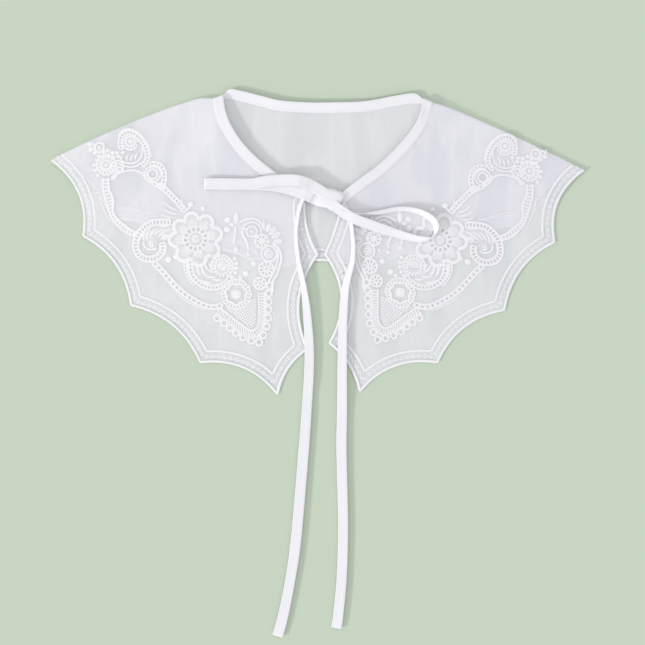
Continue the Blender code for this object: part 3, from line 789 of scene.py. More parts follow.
def cloth_mesh(name, sections, across, closed=False):
    """Cloth over sections: a grid whose points go to the sections, with its UV in metres.

    across gives the distance of each point of a section from its middle line."""
    bm = bmesh.new()
    count = len(sections[0])
    bmesh.ops.create_grid(bm, x_segments=count - 1, y_segments=len(sections) - 1, size=1.0)
    bm.verts.ensure_lookup_table()
    middle = np.array([np.mean([tuple(p) for p in section], axis=0) for section in sections])
    steps = np.sqrt((np.diff(middle, axis=0) ** 2).sum(axis=1))
    reached = np.concatenate(([0.0], np.cumsum(steps)))
    layer = bm.loops.layers.uv.new("UVMap")
    for face in bm.faces:
        for loop in face.loops:
            row, column = divmod(loop.vert.index, count)
            loop[layer].uv = (across[column] * MM, reached[row] * MM)
    for number, vert in enumerate(bm.verts):
        row, column = divmod(number, count)
        vert.co = sections[row][column]
    if closed:
        bmesh.ops.remove_doubles(bm, verts=bm.verts, dist=0.0005)
        rim = [edge for edge in bm.edges if edge.is_boundary]
        bmesh.ops.holes_fill(bm, edges=rim, sides=0)
        bmesh.ops.recalc_face_normals(bm, faces=bm.faces)
    mesh = bpy.data.meshes.new(name)
    bm.to_mesh(mesh)
    bm.free()
    into_place(mesh)
    return mesh


def organza_sections():
    """All sections of the collar, and how many belong to the left front."""
    back_outline = [Vector(spot[:2]) for spot in scalloped_edge(BACK_HEM, 1, 8)]
    back_outline += [Vector((row[0], row[1])) for row in NECK_BACK[::-1]]
    left_fold = fold_profile(NECK_LEFT[-1], NECK_BACK[0], LEFT_FRONT[-1], LEFT_FOLD_BOW, 1)
    right_fold = fold_profile(NECK_RIGHT[-1], NECK_BACK[-1], RIGHT_FRONT[-1], RIGHT_FOLD_BOW, -1)
    left = front_sections(LEFT_FRONT, NECK_LEFT, -1, left_fold, LEFT_FOLD_BOW, back_outline)
    right = front_sections(RIGHT_FRONT, NECK_RIGHT, 1, right_fold, RIGHT_FOLD_BOW, back_outline)
    back = back_sections(left_fold, right_fold)
    sections = left + fold_sections(left_fold, LEFT_SWELL) + back
    sections += fold_sections(right_fold, RIGHT_SWELL)[::-1] + right[::-1]
    return sections


def surface_height(pieces):
    """A test that gives the height of the highest of some pieces under a spot, or the table."""
    graph = bpy.context.evaluated_depsgraph_get()
    trees = [BVHTree.FromObject(piece, graph) for piece in pieces]

    def height(x, y):
        best = 0.0
        start = Vector(((x - MIDDLE[0]) * MM, (y - MIDDLE[1]) * MM, 0.1))
        for tree in trees:
            hit = tree.ray_cast(start, Vector((0.0, 0.0, -1.0)))
            if hit[0] is not None:
                best = max(best, hit[0].z / MM)
        return best

    return height


# Ribbon

def refined(frames, steps):
    """Frames of a ribbon, closer together along the same smooth curve."""
    rows = spline([(*middle, *way) for middle, way in frames], steps)
    return [(Vector(row[:3]), Vector(row[3:])) for row in rows]


def ribbon_sections(frames, width, thickness, crown):
    """Closed sections of a flat tape with rounded edges and a faint dish along its middle."""
    shares = (-1.0, -0.985, -0.93, -0.8, -0.45, 0.0, 0.45, 0.8, 0.93, 0.985, 1.0)
    lifts = (0.0, 0.55, 0.9, 1.0, 0.86, 0.8, 0.86, 1.0, 0.9, 0.55, 0.0)
    sections = []
    for number, (middle, way) in enumerate(frames):
        before = frames[max(0, number - 1)][0]
        after = frames[min(len(frames) - 1, number + 1)][0]
        normal = way.cross(after - before).normalized()
        half = width / 2
        top = []
        bottom = []
        for share, lift in zip(shares, lifts):
            dish = normal * crown * (1 - share * share)
            spot = middle + way * half * share + dish
            top.append(spot + normal * lift * thickness / 2)
            bottom.append(spot - normal * lift * thickness / 2)
        sections.append(top + bottom[-2:0:-1] + [top[0]])
    across = [share * width / 2 for share in shares]
    across = across + across[-2:0:-1] + [across[0]]
    return sections, across


def ribbon_piece(name, frames, width, thickness, material, crown=0.0):
    """A tape along frames, its length and a piece for it."""
    sections, across = ribbon_sections(frames, width, thickness, crown)
    mesh = cloth_mesh(name, sections, across, closed=True)
    piece = add_piece(name, mesh, material)
    length = sum((b[0] - a[0]).length for a, b in zip(frames, frames[1:]))
    return piece, length * MM


def shoulder_turn(front_row, back_row, side):
    """Frames of the binding where it goes round a shoulder fold."""
    start, way = neck_frame(front_row)
    out = Vector((way.y, -way.x, 0.0)) * side
    middle_z = (front_row[2] + back_row[2]) / 2
    radius = (front_row[2] - back_row[2]) / 2
    frames = []
    for step in range(1, FOLD_STEPS):
        angle = math.pi / 2 - math.pi * step / FOLD_STEPS
        spot = Vector((start.x, start.y, middle_z + radius * math.sin(angle)))
        frames.append((spot + out * radius * math.cos(angle), way))
    return frames


def binding_frames():
    """Frames of the ribbon round the neck, from the knot over both shoulders and back."""
    left = [neck_frame(row) for row in spline(NECK_LEFT, 8)]
    back = [neck_frame(row) for row in spline(NECK_BACK, 8)]
    right = [neck_frame(row) for row in spline(NECK_RIGHT, 8)]
    left_turn = shoulder_turn(NECK_LEFT[-1], NECK_BACK[0], 1)
    right_turn = shoulder_turn(NECK_RIGHT[-1], NECK_BACK[-1], -1)
    return left + left_turn + back + right_turn[::-1] + right[::-1]


def resting_frames(rows, height, steps, thickness):
    """Frames of a ribbon laid over what is under it, each row tipped by its lean.

    The length of a frame's way is the share of the width that is open there, the rest rolled in."""
    path = spline(rows, steps)
    clearances = []
    ways = []
    for number, (x, y, lean, lift, *rolled) in enumerate(path):
        share = rolled[0] if rolled else 1.0
        before = path[max(0, number - 1)]
        after = path[min(len(path) - 1, number + 1)]
        run = Vector((after[0] - before[0], after[1] - before[1])).normalized()
        across = Vector((-run.y, run.x))
        tip = math.radians(lean)
        reach = RIBBON_WIDTH / 2 * share * abs(math.cos(tip))
        under = 0.0
        for part in (-1.15, -0.8, -0.4, 0.0, 0.4, 0.8, 1.15):
            under = max(under, height(x + across.x * reach * part, y + across.y * reach * part))
        rise = RIBBON_WIDTH / 2 * share * abs(math.sin(tip)) + thickness / 2 * abs(math.cos(tip))
        clearances.append(under + rise + lift + (SEAM if under > 0 else 0.0))
        way = Vector((across.x * math.cos(tip), across.y * math.cos(tip), math.sin(tip)))
        ways.append(way * share)
    frames = []
    for number, (x, y, *rest) in enumerate(path):
        near = clearances[max(0, number - 2):number + 3]
        wide = [max(clearances[max(0, k - 2):k + 3]) for k in range(max(0, number - 2),
                                                                    min(len(path), number + 3))]
        z = max(clearances[number], sum(wide) / len(wide) if max(near) > min(near) + 0.2 else 0.0)
        frames.append((Vector((x, y, z)), ways[number]))
    return frames


def left_loop_frames(height):
    """The loop pressed flat: one length under, a turn at the end, one length back over it."""
    under = resting_frames(LOOP_LEFT_UNDER, height, 3, RIBBON)
    over = resting_frames(LOOP_LEFT_OVER, height, 3, RIBBON)
    over = [(spot, -way) for spot, way in over]
    end, way = under[-1]
    run = (end - under[-2][0]).normalized()
    gap = 2 * LOOP_TURN
    floor_of = [spot.z for spot, direction in under]
    lifted = []
    for number, (spot, direction) in enumerate(over):
        share = number / (len(over) - 1)
        below = float(np.interp(1 - share, np.linspace(0, 1, len(floor_of)), floor_of))
        lifted.append((Vector((spot.x, spot.y, max(spot.z, below) + gap)), direction))
    turn = []
    for step in range(1, FOLD_STEPS):
        angle = -math.pi / 2 + math.pi * step / FOLD_STEPS
        spot = end + run * LOOP_TURN * math.cos(angle)
        turn.append((spot + Vector((0, 0, LOOP_TURN * (1 + math.sin(angle)))), way))
    lifted[0] = (Vector((end.x, end.y, end.z + gap)), way)
    return refined(under, 3) + turn + refined(lifted, 3)


def knot_sections(top):
    """Sections along the small pressed knot: a pleated band wrapped across the loops."""
    turn = math.radians(KNOT["turn"])
    along = Vector((math.cos(turn), math.sin(turn), 0.0))
    across = Vector((-along.y, along.x, 0.0))
    sections = []
    stations = 15
    for number in range(stations):
        t = 2 * number / (stations - 1) - 1
        size = 0.72 + 0.28 * (1 - abs(t) ** 3.2)
        full = 0.3 + 0.7 * math.sqrt(1 - t * t)
        pinch = 1 - 0.05 * math.cos(math.pi * t)
        ring = []
        for step in range(33):
            angle = 2 * math.pi * step / 32
            pleat = 1 + 0.03 * math.cos(7 * angle + 1.4 * t) + 0.02 * math.cos(11 * angle - t)
            c, s = math.cos(angle), math.sin(angle)
            width = KNOT["wide"] * size * pinch * pleat * math.copysign(abs(c) ** 0.8, c)
            rise = KNOT["height"] / 2 * full * pleat * math.copysign(abs(s) ** 0.6, s)
            lean = 1.6 * math.sin(2.2 * t + 0.5)
            spot = Vector((KNOT["x"], KNOT["y"], 0.0)) + along * (KNOT["long"] * t + 0.5 * c)
            spot += across * (width + lean)
            spot.z = top - KNOT["height"] / 2 + rise
            ring.append(spot)
        sections.append(ring)
    across_places = [KNOT["wide"] * 2 * math.pi * step / 32 * 0.7 for step in range(33)]
    return sections, across_places


# Stitched work. A stroke is its path, its widths, its lift over the cloth, and whether it closes.

def line(path, width=1.15, taper=False, lift=0.0, steps=0):
    """A satin line along a path; taper thins both its ends."""
    points = spline(path, steps)[:, :2] if steps else np.array(path, dtype=float)
    widths = np.full(len(points), width)
    if taper:
        shares = shares_along(points)
        widths = width * (0.22 + 0.78 * np.sin(np.pi * shares) ** 0.8)
    return [(points, widths, lift, False)]


def ring(x, y, radius, width=1.15, lift=0.0, lobes=0, depth=0.0, turn=0.0):
    """A stitched ring, with lobes where it is scalloped."""
    count = max(9, int(2 * math.pi * radius / 1.1))
    if lobes:
        count = max(count, lobes * 5)
    points = []
    for step in range(count):
        angle = 2 * math.pi * step / count
        reach = radius + (depth * math.cos(lobes * (angle - math.radians(turn))) if lobes else 0.0)
        points.append((x + reach * math.cos(angle), y + reach * math.sin(angle)))
    return [(np.array(points), np.full(count, width), lift, True)]


def arc(x, y, radius, start, end, width=1.15, lift=0.0, taper=False):
    """Part of a ring from one angle to another."""
    count = max(4, int(abs(end - start) * math.pi / 180 * radius / 1.0) + 1)
    angles = np.radians(np.linspace(start, end, count))
    points = np.column_stack((x + radius * np.cos(angles), y + radius * np.sin(angles)))
    return line(points, width, taper, lift)


def spiral(x, y, first, last, start, turns, width=1.1, lift=0.0):
    """A coil drawn inwards from one radius to another."""
    count = max(8, int(abs(turns) * math.pi * (first + last) / 0.9))
    shares = np.linspace(0.0, 1.0, count)
    angles = math.radians(start) + shares * turns * 2 * math.pi
    reach = first + (last - first) * shares
    points = np.column_stack((x + reach * np.cos(angles), y + reach * np.sin(angles)))
    return line(points, width, False, lift)


def spokes(x, y, inner, outer, count, width=1.1, turn=0.0, lift=0.0, lean=0.0):
    """Short stitches round a middle, each from an inner to an outer radius."""
    work = []
    for number in range(count):
        angle = 2 * math.pi * number / count + math.radians(turn)
        far = angle + math.radians(lean)
        mid = (angle + far) / 2
        half = (inner + outer) / 2
        work += line(((x + inner * math.cos(angle), y + inner * math.sin(angle)),
                      (x + half * math.cos(mid), y + half * math.sin(mid)),
                      (x + outer * math.cos(far), y + outer * math.sin(far))), width, False, lift)
    return work


def leaf(x, y, end_x, end_y, bow, width=1.5, lift=0.1):
    """A tapered stroke between two spots, bowed to its left."""
    run = np.array((end_x - x, end_y - y))
    left = np.array((-run[1], run[0])) / max(1e-9, np.hypot(*run))
    points = []
    for step in range(7):
        t = step / 6
        points.append(np.array((x, y)) + run * t + left * bow * 4 * t * (1 - t))
    return line(np.array(points), width, True, lift)


def bud(x, y, radius, lift=0.1, steps=5):
    """A filled round patch of stitches."""
    shares = np.sin(np.radians(np.linspace(-78, 78, steps)))
    points = np.column_stack((x + radius * shares, np.full(steps, y)))
    widths = 2 * radius * np.sqrt(1 - shares ** 2)
    return [(points, widths, lift, False)]


def patch(rows, steps=3):
    """Flat ground stitches along rows of x, y and width."""
    points = spline(rows, steps)
    return [(points[:, :2], points[:, 2], 0.0, False)]


def beside(path, offset):
    """The same smooth path, moved to its left."""
    middle = evenly(spline(path, 6)[:, :2], 1.1)
    return middle + side_ways(middle) * offset


def rungs(first, second, pitch, width, lift=0.0):
    """Short stitches between two paths, and a little way under both."""
    first = spline(first, 6)[:, :2]
    second = spline(second, 6)[:, :2]
    length = np.hypot(*np.diff(first, axis=0).T).sum()
    count = max(2, int(length / pitch))
    work = []
    for number in range(count):
        a = at_share(first, (number + 0.5) / count)
        b = at_share(second, (number + 0.5) / count)
        work += line((a, (a + b) / 2, b), width, False, lift)
    return work


def ladder(path, half, pitch, rail=1.9, bar=1.7, lift=0.0):
    """Two rails with bars across, so that small round holes show between them."""
    middle = evenly(spline(path, 6)[:, :2], 1.1)
    ways = side_ways(middle)
    work = line(middle + ways * half, rail, False, lift + 0.1)
    work += line(middle - ways * half, rail, False, lift + 0.1)
    marks = evenly(middle, pitch)
    for spot, way in zip(marks, side_ways(marks)):
        work += line((spot - way * half, spot, spot + way * half), bar, False, lift)
    return work


def beads(spots, radius=1.2, lift=0.1):
    """A bead stitch at each spot."""
    work = []
    for x, y in spots:
        work += bud(x, y, radius, lift)
    return work


def picots(spots, radius=2.8, width=2.2):
    """Small rings side by side along an edge."""
    work = []
    for x, y in spots:
        work += ring(x, y, radius, width, 0.1)
    return work


TIP_RIM = ((-173.3, 187.4), (-174.2, 192.6), (-173.4, 197.6), (-170.8, 201.1), (-167.1, 202.3),
           (-163.2, 201.4), (-159.7, 199.3), (-156.6, 196.5), (-153.9, 192.8), (-151.8, 188.8),
           (-150.6, 184.5), (-150.2, 180.3), (-151.6, 176.4), (-154.4, 173.3))
TIP_ARCS = (
    ((-173.8, 177.8), (-169.4, 175.7), (-164.1, 175.1), (-159.7, 176.4), (-156.4, 179.8),
     (-154.6, 184.7), (-154.8, 189.5)),
    ((-175.0, 175.0), (-169.9, 172.7), (-164.5, 171.9), (-159.4, 173.1), (-156.0, 175.9)),
    ((-181.2, 161.1), (-176.8, 165.4), (-171.7, 167.8), (-166.2, 168.9), (-160.6, 168.7),
     (-155.8, 166.6), (-151.6, 161.8)),
)
TIP_LEAVES = (
    # x, y, end x, end y, bow
    (-168.3, 177.0, -166.6, 183.7, 0.9),
    (-164.6, 176.6, -162.5, 182.6, 1.0),
    (-160.8, 177.5, -158.8, 184.0, 1.0),
    (-173.8, 177.3, -171.5, 182.2, 0.6),
)
TIP_BEADS = ((-200.6, 186.6), (-201.3, 191.9), (-196.2, 184.0), (-193.0, 181.5), (-188.4, 184.9),
             (-189.6, 180.7), (-185.1, 186.5), (-184.5, 181.7), (-180.8, 184.4), (-180.3, 180.3),
             (-176.8, 184.7), (-175.9, 181.0), (-194.7, 177.8), (-197.0, 173.8), (-196.3, 169.0),
             (-193.7, 164.5), (-171.7, 184.7))
EYELET_ARC = ((-147.9, 174.5), (-143.5, 175.0), (-139.5, 173.3), (-136.8, 170.1), (-135.4, 165.9),
              (-135.4, 161.5), (-136.1, 157.1), (-135.8, 153.9))
EYELET_UNDER = ((-153.9, 167.3), (-150.9, 162.4), (-146.5, 158.5), (-140.7, 155.3), (-136.8, 152.7))
BAND_INNER = ((-140.4, 156.7), (-136.3, 153.6), (-132.1, 149.7), (-128.0, 145.6), (-124.0, 141.6),
              (-120.5, 137.4), (-117.1, 133.0))
BAND_LEFT = ((-190.7, 162.4), (-191.0, 157.1), (-190.7, 151.8), (-189.3, 145.6), (-187.4, 138.6),
             (-184.9, 131.6), (-181.7, 124.5), (-177.3, 118.9), (-171.7, 114.1), (-165.9, 111.0),
             (-161.5, 109.6))
BAND_RIGHT = ((-184.2, 162.0), (-184.4, 157.1), (-183.7, 151.8), (-181.2, 146.2), (-180.0, 140.4),
              (-180.5, 134.2), (-179.1, 129.3), (-175.2, 125.0), (-170.3, 121.0), (-165.4, 117.1),
              (-160.2, 114.5))
BAND_SIDE = ((-193.2, 150.0), (-191.4, 143.9), (-189.3, 136.8), (-186.5, 129.8), (-183.1, 123.6))
TENDRILS = (
    ((-196.7, 148.3), (-193.7, 149.7), (-189.6, 150.0)),
    ((-175.2, 135.6), (-169.4, 136.5), (-162.4, 135.3), (-155.3, 132.4), (-146.9, 128.9)),
    ((-175.7, 126.6), (-171.2, 127.3), (-165.0, 126.3)),
    ((-152.7, 127.5), (-145.6, 128.7), (-139.5, 127.7)),
)
FAN_LEAVES = (
    # x, y, end x, end y, bow
    (-121.9, 133.0, -136.5, 142.3, 1.6),
    (-122.8, 130.5, -137.2, 136.3, 1.6),
    (-125.4, 127.5, -138.6, 131.0, 1.4),
    (-119.2, 134.7, -129.3, 146.0, 1.4),
    (-118.0, 135.1, -119.8, 145.1, 1.2),
    (-117.1, 133.3, -111.7, 140.4, -1.0),
)
UPPER_RIM = ((-130.3, 123.3), (-135.4, 123.5), (-140.7, 123.4), (-146.0, 122.6), (-150.7, 120.1),
             (-154.8, 116.6), (-158.1, 112.2), (-160.1, 107.3), (-160.6, 102.0), (-159.4, 97.1),
             (-156.2, 93.4), (-151.6, 91.3), (-146.5, 91.1), (-141.6, 92.7), (-138.1, 96.2),
             (-136.7, 100.8), (-137.4, 105.2))
UPPER_LEAVES = (
    # x, y, end x, end y, bow
    (-154.1, 106.9, -151.4, 117.8, 1.1),
    (-151.1, 107.4, -147.0, 117.8, 1.4),
    (-148.3, 109.0, -140.9, 117.7, 1.6),
    (-145.3, 109.6, -134.6, 117.3, 1.8),
    (-142.1, 108.3, -129.4, 117.0, 1.8),
    (-139.0, 106.9, -128.0, 112.7, 1.4),
)
UPPER_SWIRL = ((-153.9, 106.4), (-153.0, 102.3), (-149.7, 99.7), (-145.5, 99.4), (-142.1, 101.1))
UPPER_COIL = ((-141.6, 104.8), (-143.7, 107.3), (-146.9, 106.9), (-148.3, 104.3), (-146.9, 102.0),
              (-144.8, 102.9))
UPPER_TOP = ((-141.2, 119.8), (-134.2, 119.9), (-127.2, 121.5))
LOWER_RIM = ((-112.7, 89.8), (-112.6, 84.9), (-111.8, 80.2), (-110.1, 75.6), (-106.9, 71.7),
             (-102.7, 68.6), (-98.1, 66.6), (-93.4, 65.9), (-88.8, 66.4), (-84.4, 68.2),
             (-80.5, 71.2), (-77.5, 74.9))
LOWER_EDGE = ((-117.1, 87.9), (-116.8, 82.6), (-115.0, 77.2), (-112.2, 72.2), (-109.2, 69.0))
LOWER_LEAVES = (
    # x, y, end x, end y, bow
    (-106.0, 87.9, -103.0, 75.8, -1.6),
    (-103.0, 86.7, -96.4, 74.7, -1.8),
    (-99.5, 87.0, -92.5, 79.1, -1.6),
    (-103.8, 73.1, -93.2, 70.3, -1.2),
    (-99.0, 76.5, -90.2, 75.6, -1.0),
    (-96.0, 87.2, -92.8, 83.2, -0.8),
    (-93.4, 73.7, -84.9, 73.1, -0.8),
)
LOWER_BUMPS = ((-73.7, 91.3), (-72.2, 87.2), (-72.2, 83.0), (-73.3, 78.9), (-75.8, 75.4))
PETALS = (102, 59, 14, -33, -80, -129, -178, 142)
STEM = ((-145.1, 88.4), (-140.7, 84.0), (-135.1, 77.9), (-129.3, 71.2), (-123.3, 65.0),
        (-117.0, 59.8), (-110.4, 55.4), (-103.8, 51.7), (-97.2, 49.4), (-90.7, 49.0), (-84.9, 50.8))
STEM_SIDE = ((-130.7, 66.8), (-124.5, 60.6), (-118.0, 55.5), (-110.8, 51.0), (-103.4, 47.3),
             (-95.8, 45.0))
COLUMN_OUTER = ((-40.4, 104.6), (-36.2, 101.6), (-33.4, 96.9), (-32.6, 91.1), (-34.1, 84.4),
                (-36.2, 77.9), (-39.5, 72.6), (-40.4, 66.4), (-40.2, 62.0))
COLUMN_INNER = ((-36.5, 99.0), (-35.5, 93.7), (-36.2, 87.6), (-38.3, 81.4), (-41.4, 75.2),
                (-43.9, 71.4))
COLUMN_TOP = ((-69.4, 123.1), (-65.6, 125.0), (-61.2, 126.5), (-56.4, 126.4), (-52.2, 124.2),
              (-49.2, 120.5), (-47.6, 116.1))
COLUMN_LEAVES = (
    # x, y, end x, end y, bow
    (-48.1, 117.5, -47.6, 126.6, 0.0),
    (-45.8, 114.5, -42.5, 123.3, 0.9),
    (-43.2, 112.2, -37.0, 120.3, 1.2),
    (-41.4, 109.2, -33.0, 114.7, 1.2),
    (-40.2, 106.0, -31.6, 107.1, 1.1),
)
NET_CORNERS = ((-84.4, 50.6), (-77.9, 45.0), (-70.8, 38.5), (-63.3, 31.9), (-58.5, 29.1),
               (-55.0, 35.6), (-54.6, 56.8), (-60.3, 55.0), (-66.4, 48.8), (-75.2, 47.4))
NET_BORDER = ((-87.2, 48.5), (-79.6, 42.7), (-71.4, 36.2), (-64.3, 30.9), (-58.7, 28.2),
              (-53.8, 31.8), (-52.4, 39.5), (-52.4, 49.7), (-52.7, 62.0))
NET_OUTER = ((-90.6, 43.6), (-83.5, 38.6), (-75.8, 32.1), (-68.6, 26.8), (-60.3, 22.8),
             (-52.7, 23.3), (-48.8, 30.0), (-47.4, 39.5), (-47.3, 50.6), (-47.3, 62.0))
NET_PICOTS = ((-89.0, 39.2), (-82.8, 34.9), (-77.7, 30.7), (-72.4, 26.2), (-66.1, 22.4),
              (-59.0, 19.4), (-52.1, 17.7), (-48.6, 24.2), (-45.6, 31.9), (-44.4, 39.5),
              (-44.2, 46.7), (-43.9, 53.6), (-43.6, 60.8), (-42.7, 67.7))
BUDS = (
    # x, y, radius
    (-112.2, 139.0, 2.5), (-101.4, 135.4, 2.2), (-131.9, 90.6, 2.9), (-125.6, 93.2, 2.3),
    (-64.1, 78.0, 2.9), (-68.4, 75.1, 2.1), (-87.6, 96.9, 2.0), (-56.8, 87.0, 2.5),
    (-61.7, 95.1, 1.9), (-72.6, 99.5, 2.3), (-54.5, 96.7, 1.4), (-114.0, 84.6, 1.5),
)


def tip_work():
    """The scroll, rosettes and eyelet near the shoulder tip."""
    work = ladder(TIP_RIM, 1.75, 2.9, 1.7, 1.6)
    work += line(beside(TIP_RIM[2:12], 3.0), 1.4)
    work += bud(-165.4, 194.4, 1.9)
    work += ring(-165.4, 194.4, 4.0, 1.5, 0.1)
    work += spokes(-165.4, 194.4, 4.4, 7.0, 13, 1.2, 10, 0.0, -14)
    work += arc(-165.4, 194.4, 7.5, 180, 325, 1.6, 0.1)
    for row in TIP_LEAVES:
        work += leaf(*row, 2.2)
    for path, width in zip(TIP_ARCS, (1.8, 1.7, 2.1)):
        work += line(path, width, False, 0.15, 4)
    work += ring(-192.3, 189.0, 4.1, 2.1, 0.1)
    work += bud(-192.3, 189.0, 1.3)
    work += ring(-198.4, 189.9, 2.3, 1.6, 0.1)
    work += beads(TIP_BEADS, 1.75)
    work += bud(-186.5, 173.6, 1.6)
    work += ring(-186.5, 173.6, 3.8, 1.5, 0.1)
    work += spokes(-186.5, 173.6, 4.2, 8.2, 14, 1.7, 15, 0.0, 6)
    work += ring(-186.5, 173.6, 8.6, 1.6, 0.05, 14, 0.4)
    work += ring(-176.4, 172.4, 5.2, 1.8, 0.15)
    work += arc(-176.4, 172.4, 2.9, 20, 290, 1.5, 0.1)
    work += ring(-174.8, 169.8, 2.1, 1.4, 0.2)
    work += leaf(-182.6, 160.2, -176.2, 166.6, 1.5, 1.5) + leaf(-182.6, 160.2, -176.2, 166.6, -1.5, 1.5)
    work += ring(-145.6, 165.6, 4.1, 2.0, 0.2)
    work += ring(-145.6, 165.6, 6.9, 1.7, 0.1)
    work += ladder(EYELET_ARC, 1.7, 3.4, 1.8, 1.8)
    work += ladder(EYELET_UNDER, 1.4, 3.1, 1.6, 1.6)
    return work


def band_work():
    """The laddered bands round the clear organza, and the sprays of leaves between them."""
    work = ladder(BAND_INNER, 1.9, 3.5, 2.0, 1.9)
    inner = beside(BAND_LEFT, 1.5)
    work += line(inner, 2.1, False, 0.1) + line(BAND_RIGHT, 2.1, False, 0.1, 4)
    work += rungs(inner, BAND_RIGHT, 3.3, 1.6)
    work += line(BAND_SIDE, 1.5, True, 0.0, 4)
    for row in FAN_LEAVES:
        work += leaf(*row, 2.0)
    for path in TENDRILS:
        work += line(path, 1.0, True, 0.0, 4)
    return work


def upper_work():
    """The upper curled leaf with a pinwheel of leaves inside."""
    work = ladder(UPPER_RIM, 2.35, 3.1, 2.1, 1.8)
    work += line(UPPER_SWIRL, 2.0, False, 0.15, 4) + line(UPPER_COIL, 1.8, False, 0.15, 4)
    work += bud(-145.8, 104.8, 1.2)
    for row in UPPER_LEAVES:
        work += leaf(*row, 2.3)
    work += ring(-134.7, 110.4, 2.1, 1.5, 0.2)
    work += line(UPPER_TOP, 1.4, True, 0.1, 4)
    return work


def large_flower_work():
    """The large flower: a coiled eye, a ring of round holes and eight stitched petals."""
    x, y = -107.8, 108.5
    work = spiral(x, y, 3.7, 0.6, 40, 1.9, 1.5, 0.2)
    work += ring(x, y, 6.4, 1.7, 0.15)
    work += spokes(x, y, 6.6, 10.4, 13, 2.3, 6, 0.1)
    work += ring(x, y, 10.8, 1.5, 0.15)
    for toward in PETALS:
        a = math.radians(toward)
        work += arc(x + 17.2 * math.cos(a), y + 17.2 * math.sin(a), 5.9, toward - 104, toward + 104,
                    3.4, 0.1)
        for turn in (-15.6, -10.4, -5.2, 0.0, 5.2, 10.4, 15.6):
            b = math.radians(toward + turn)
            far = 18.3 - 0.011 * turn * turn
            near = 11.2
            work += line([(x + r * math.cos(b), y + r * math.sin(b))
                          for r in (near, (near + far) / 2, far)], 1.05, False, 0.1)
    for bx, by, radius in BUDS:
        work += bud(bx, by, radius, 0.2, 7)
    return work


def lower_work():
    """The lower curled leaf, the stem under it and the open six-petal flower."""
    work = ladder(LOWER_RIM, 1.85, 3.4, 2.0, 1.8)
    work += ladder(LOWER_EDGE, 1.1, 3.2, 1.4, 1.6)
    work += ring(-84.6, 84.6, 6.0, 1.7, 0.15)
    work += spiral(-84.6, 84.6, 4.6, 0.5, 0, 3.4, 1.15, 0.1)
    work += spokes(-84.6, 84.6, 6.4, 9.4, 17, 1.8, 4, 0.1)
    work += arc(-84.6, 84.6, 9.8, -62, 205, 1.6, 0.1)
    work += beads(LOWER_BUMPS, 1.9)
    for row in LOWER_LEAVES:
        work += leaf(*row, 2.3)
    work += ladder(STEM, 1.9, 4.7, 2.1, 2.8)
    work += line(STEM_SIDE, 1.5, True, 0.0, 4)
    x, y = -72.3, 60.3
    work += bud(x, y, 3.5, 0.1, 7) + ring(x, y, 3.9, 1.2, 0.3)
    work += ring(x, y, 8.9, 2.3, 0.3, 7, 0.7, 12)
    work += spokes(x, y, 9.0, 12.8, 24, 1.75, 0, 0.1)
    work += ring(x, y, 13.0, 1.5, 0.3, 12, 0.45)
    return work


def column_work():
    """The column of small rosettes near the centre front, and the little cross flower."""
    work = bud(-58.5, 115.2, 1.4) + ring(-58.5, 115.2, 4.7, 1.9, 0.15)
    work += arc(-58.5, 115.2, 8.1, -10, 205, 1.9, 0.1)
    work += line(COLUMN_TOP, 1.9, False, 0.05, 4)
    work += line(((-70.0, 118.4), (-66.4, 117.6), (-62.6, 117.4)), 1.9, True, 0.0, 3)
    work += bud(-49.7, 106.6, 1.7) + spokes(-49.7, 106.6, 1.2, 5.4, 8, 1.8, 0, 0.1)
    work += ring(-49.7, 106.6, 5.9, 1.8, 0.1, 8, 0.4)
    work += ring(-43.4, 95.7, 6.7, 1.9, 0.1)
    work += spiral(-43.4, 95.7, 4.3, 0.8, 90, 1.8, 1.5, 0.1)
    work += ring(-45.8, 82.1, 6.4, 1.9, 0.1) + spokes(-45.8, 82.1, 0.8, 5.6, 9, 1.8, 10, 0.1)
    work += ring(-51.3, 69.6, 5.2, 1.8, 0.1) + spokes(-51.3, 69.6, 0.8, 4.6, 7, 1.7, 0, 0.1)
    work += line(COLUMN_OUTER, 2.6, False, 0.15, 4) + line(COLUMN_INNER, 2.0, False, 0.1, 4)
    for x, y, end_x, end_y, bow in COLUMN_LEAVES:
        if bow:
            work += leaf(x, y, end_x, end_y, bow, 2.0) + leaf(x, y, end_x, end_y, -bow, 2.0)
        else:
            work += leaf(x, y, end_x, end_y, 0.4, 2.2)
    work += line(((-72.5, 132.6), (-72.4, 127.6), (-72.8, 121.6)), 4.6, True, 0.0, 3)
    work += beads(((-79.8, 125.4), (-80.4, 117.2)), 2.9) + beads(((-76.3, 121.4),), 2.1)
    work += line(((-72.6, 121.1), (-73.3, 113.1), (-74.2, 106.0), (-73.0, 100.6)), 2.6, True, 0.0, 4)
    work += line(((-69.1, 116.2), (-65.6, 110.4), (-62.6, 104.6), (-61.7, 97.1)), 2.6, True, 0.0, 4)
    return work


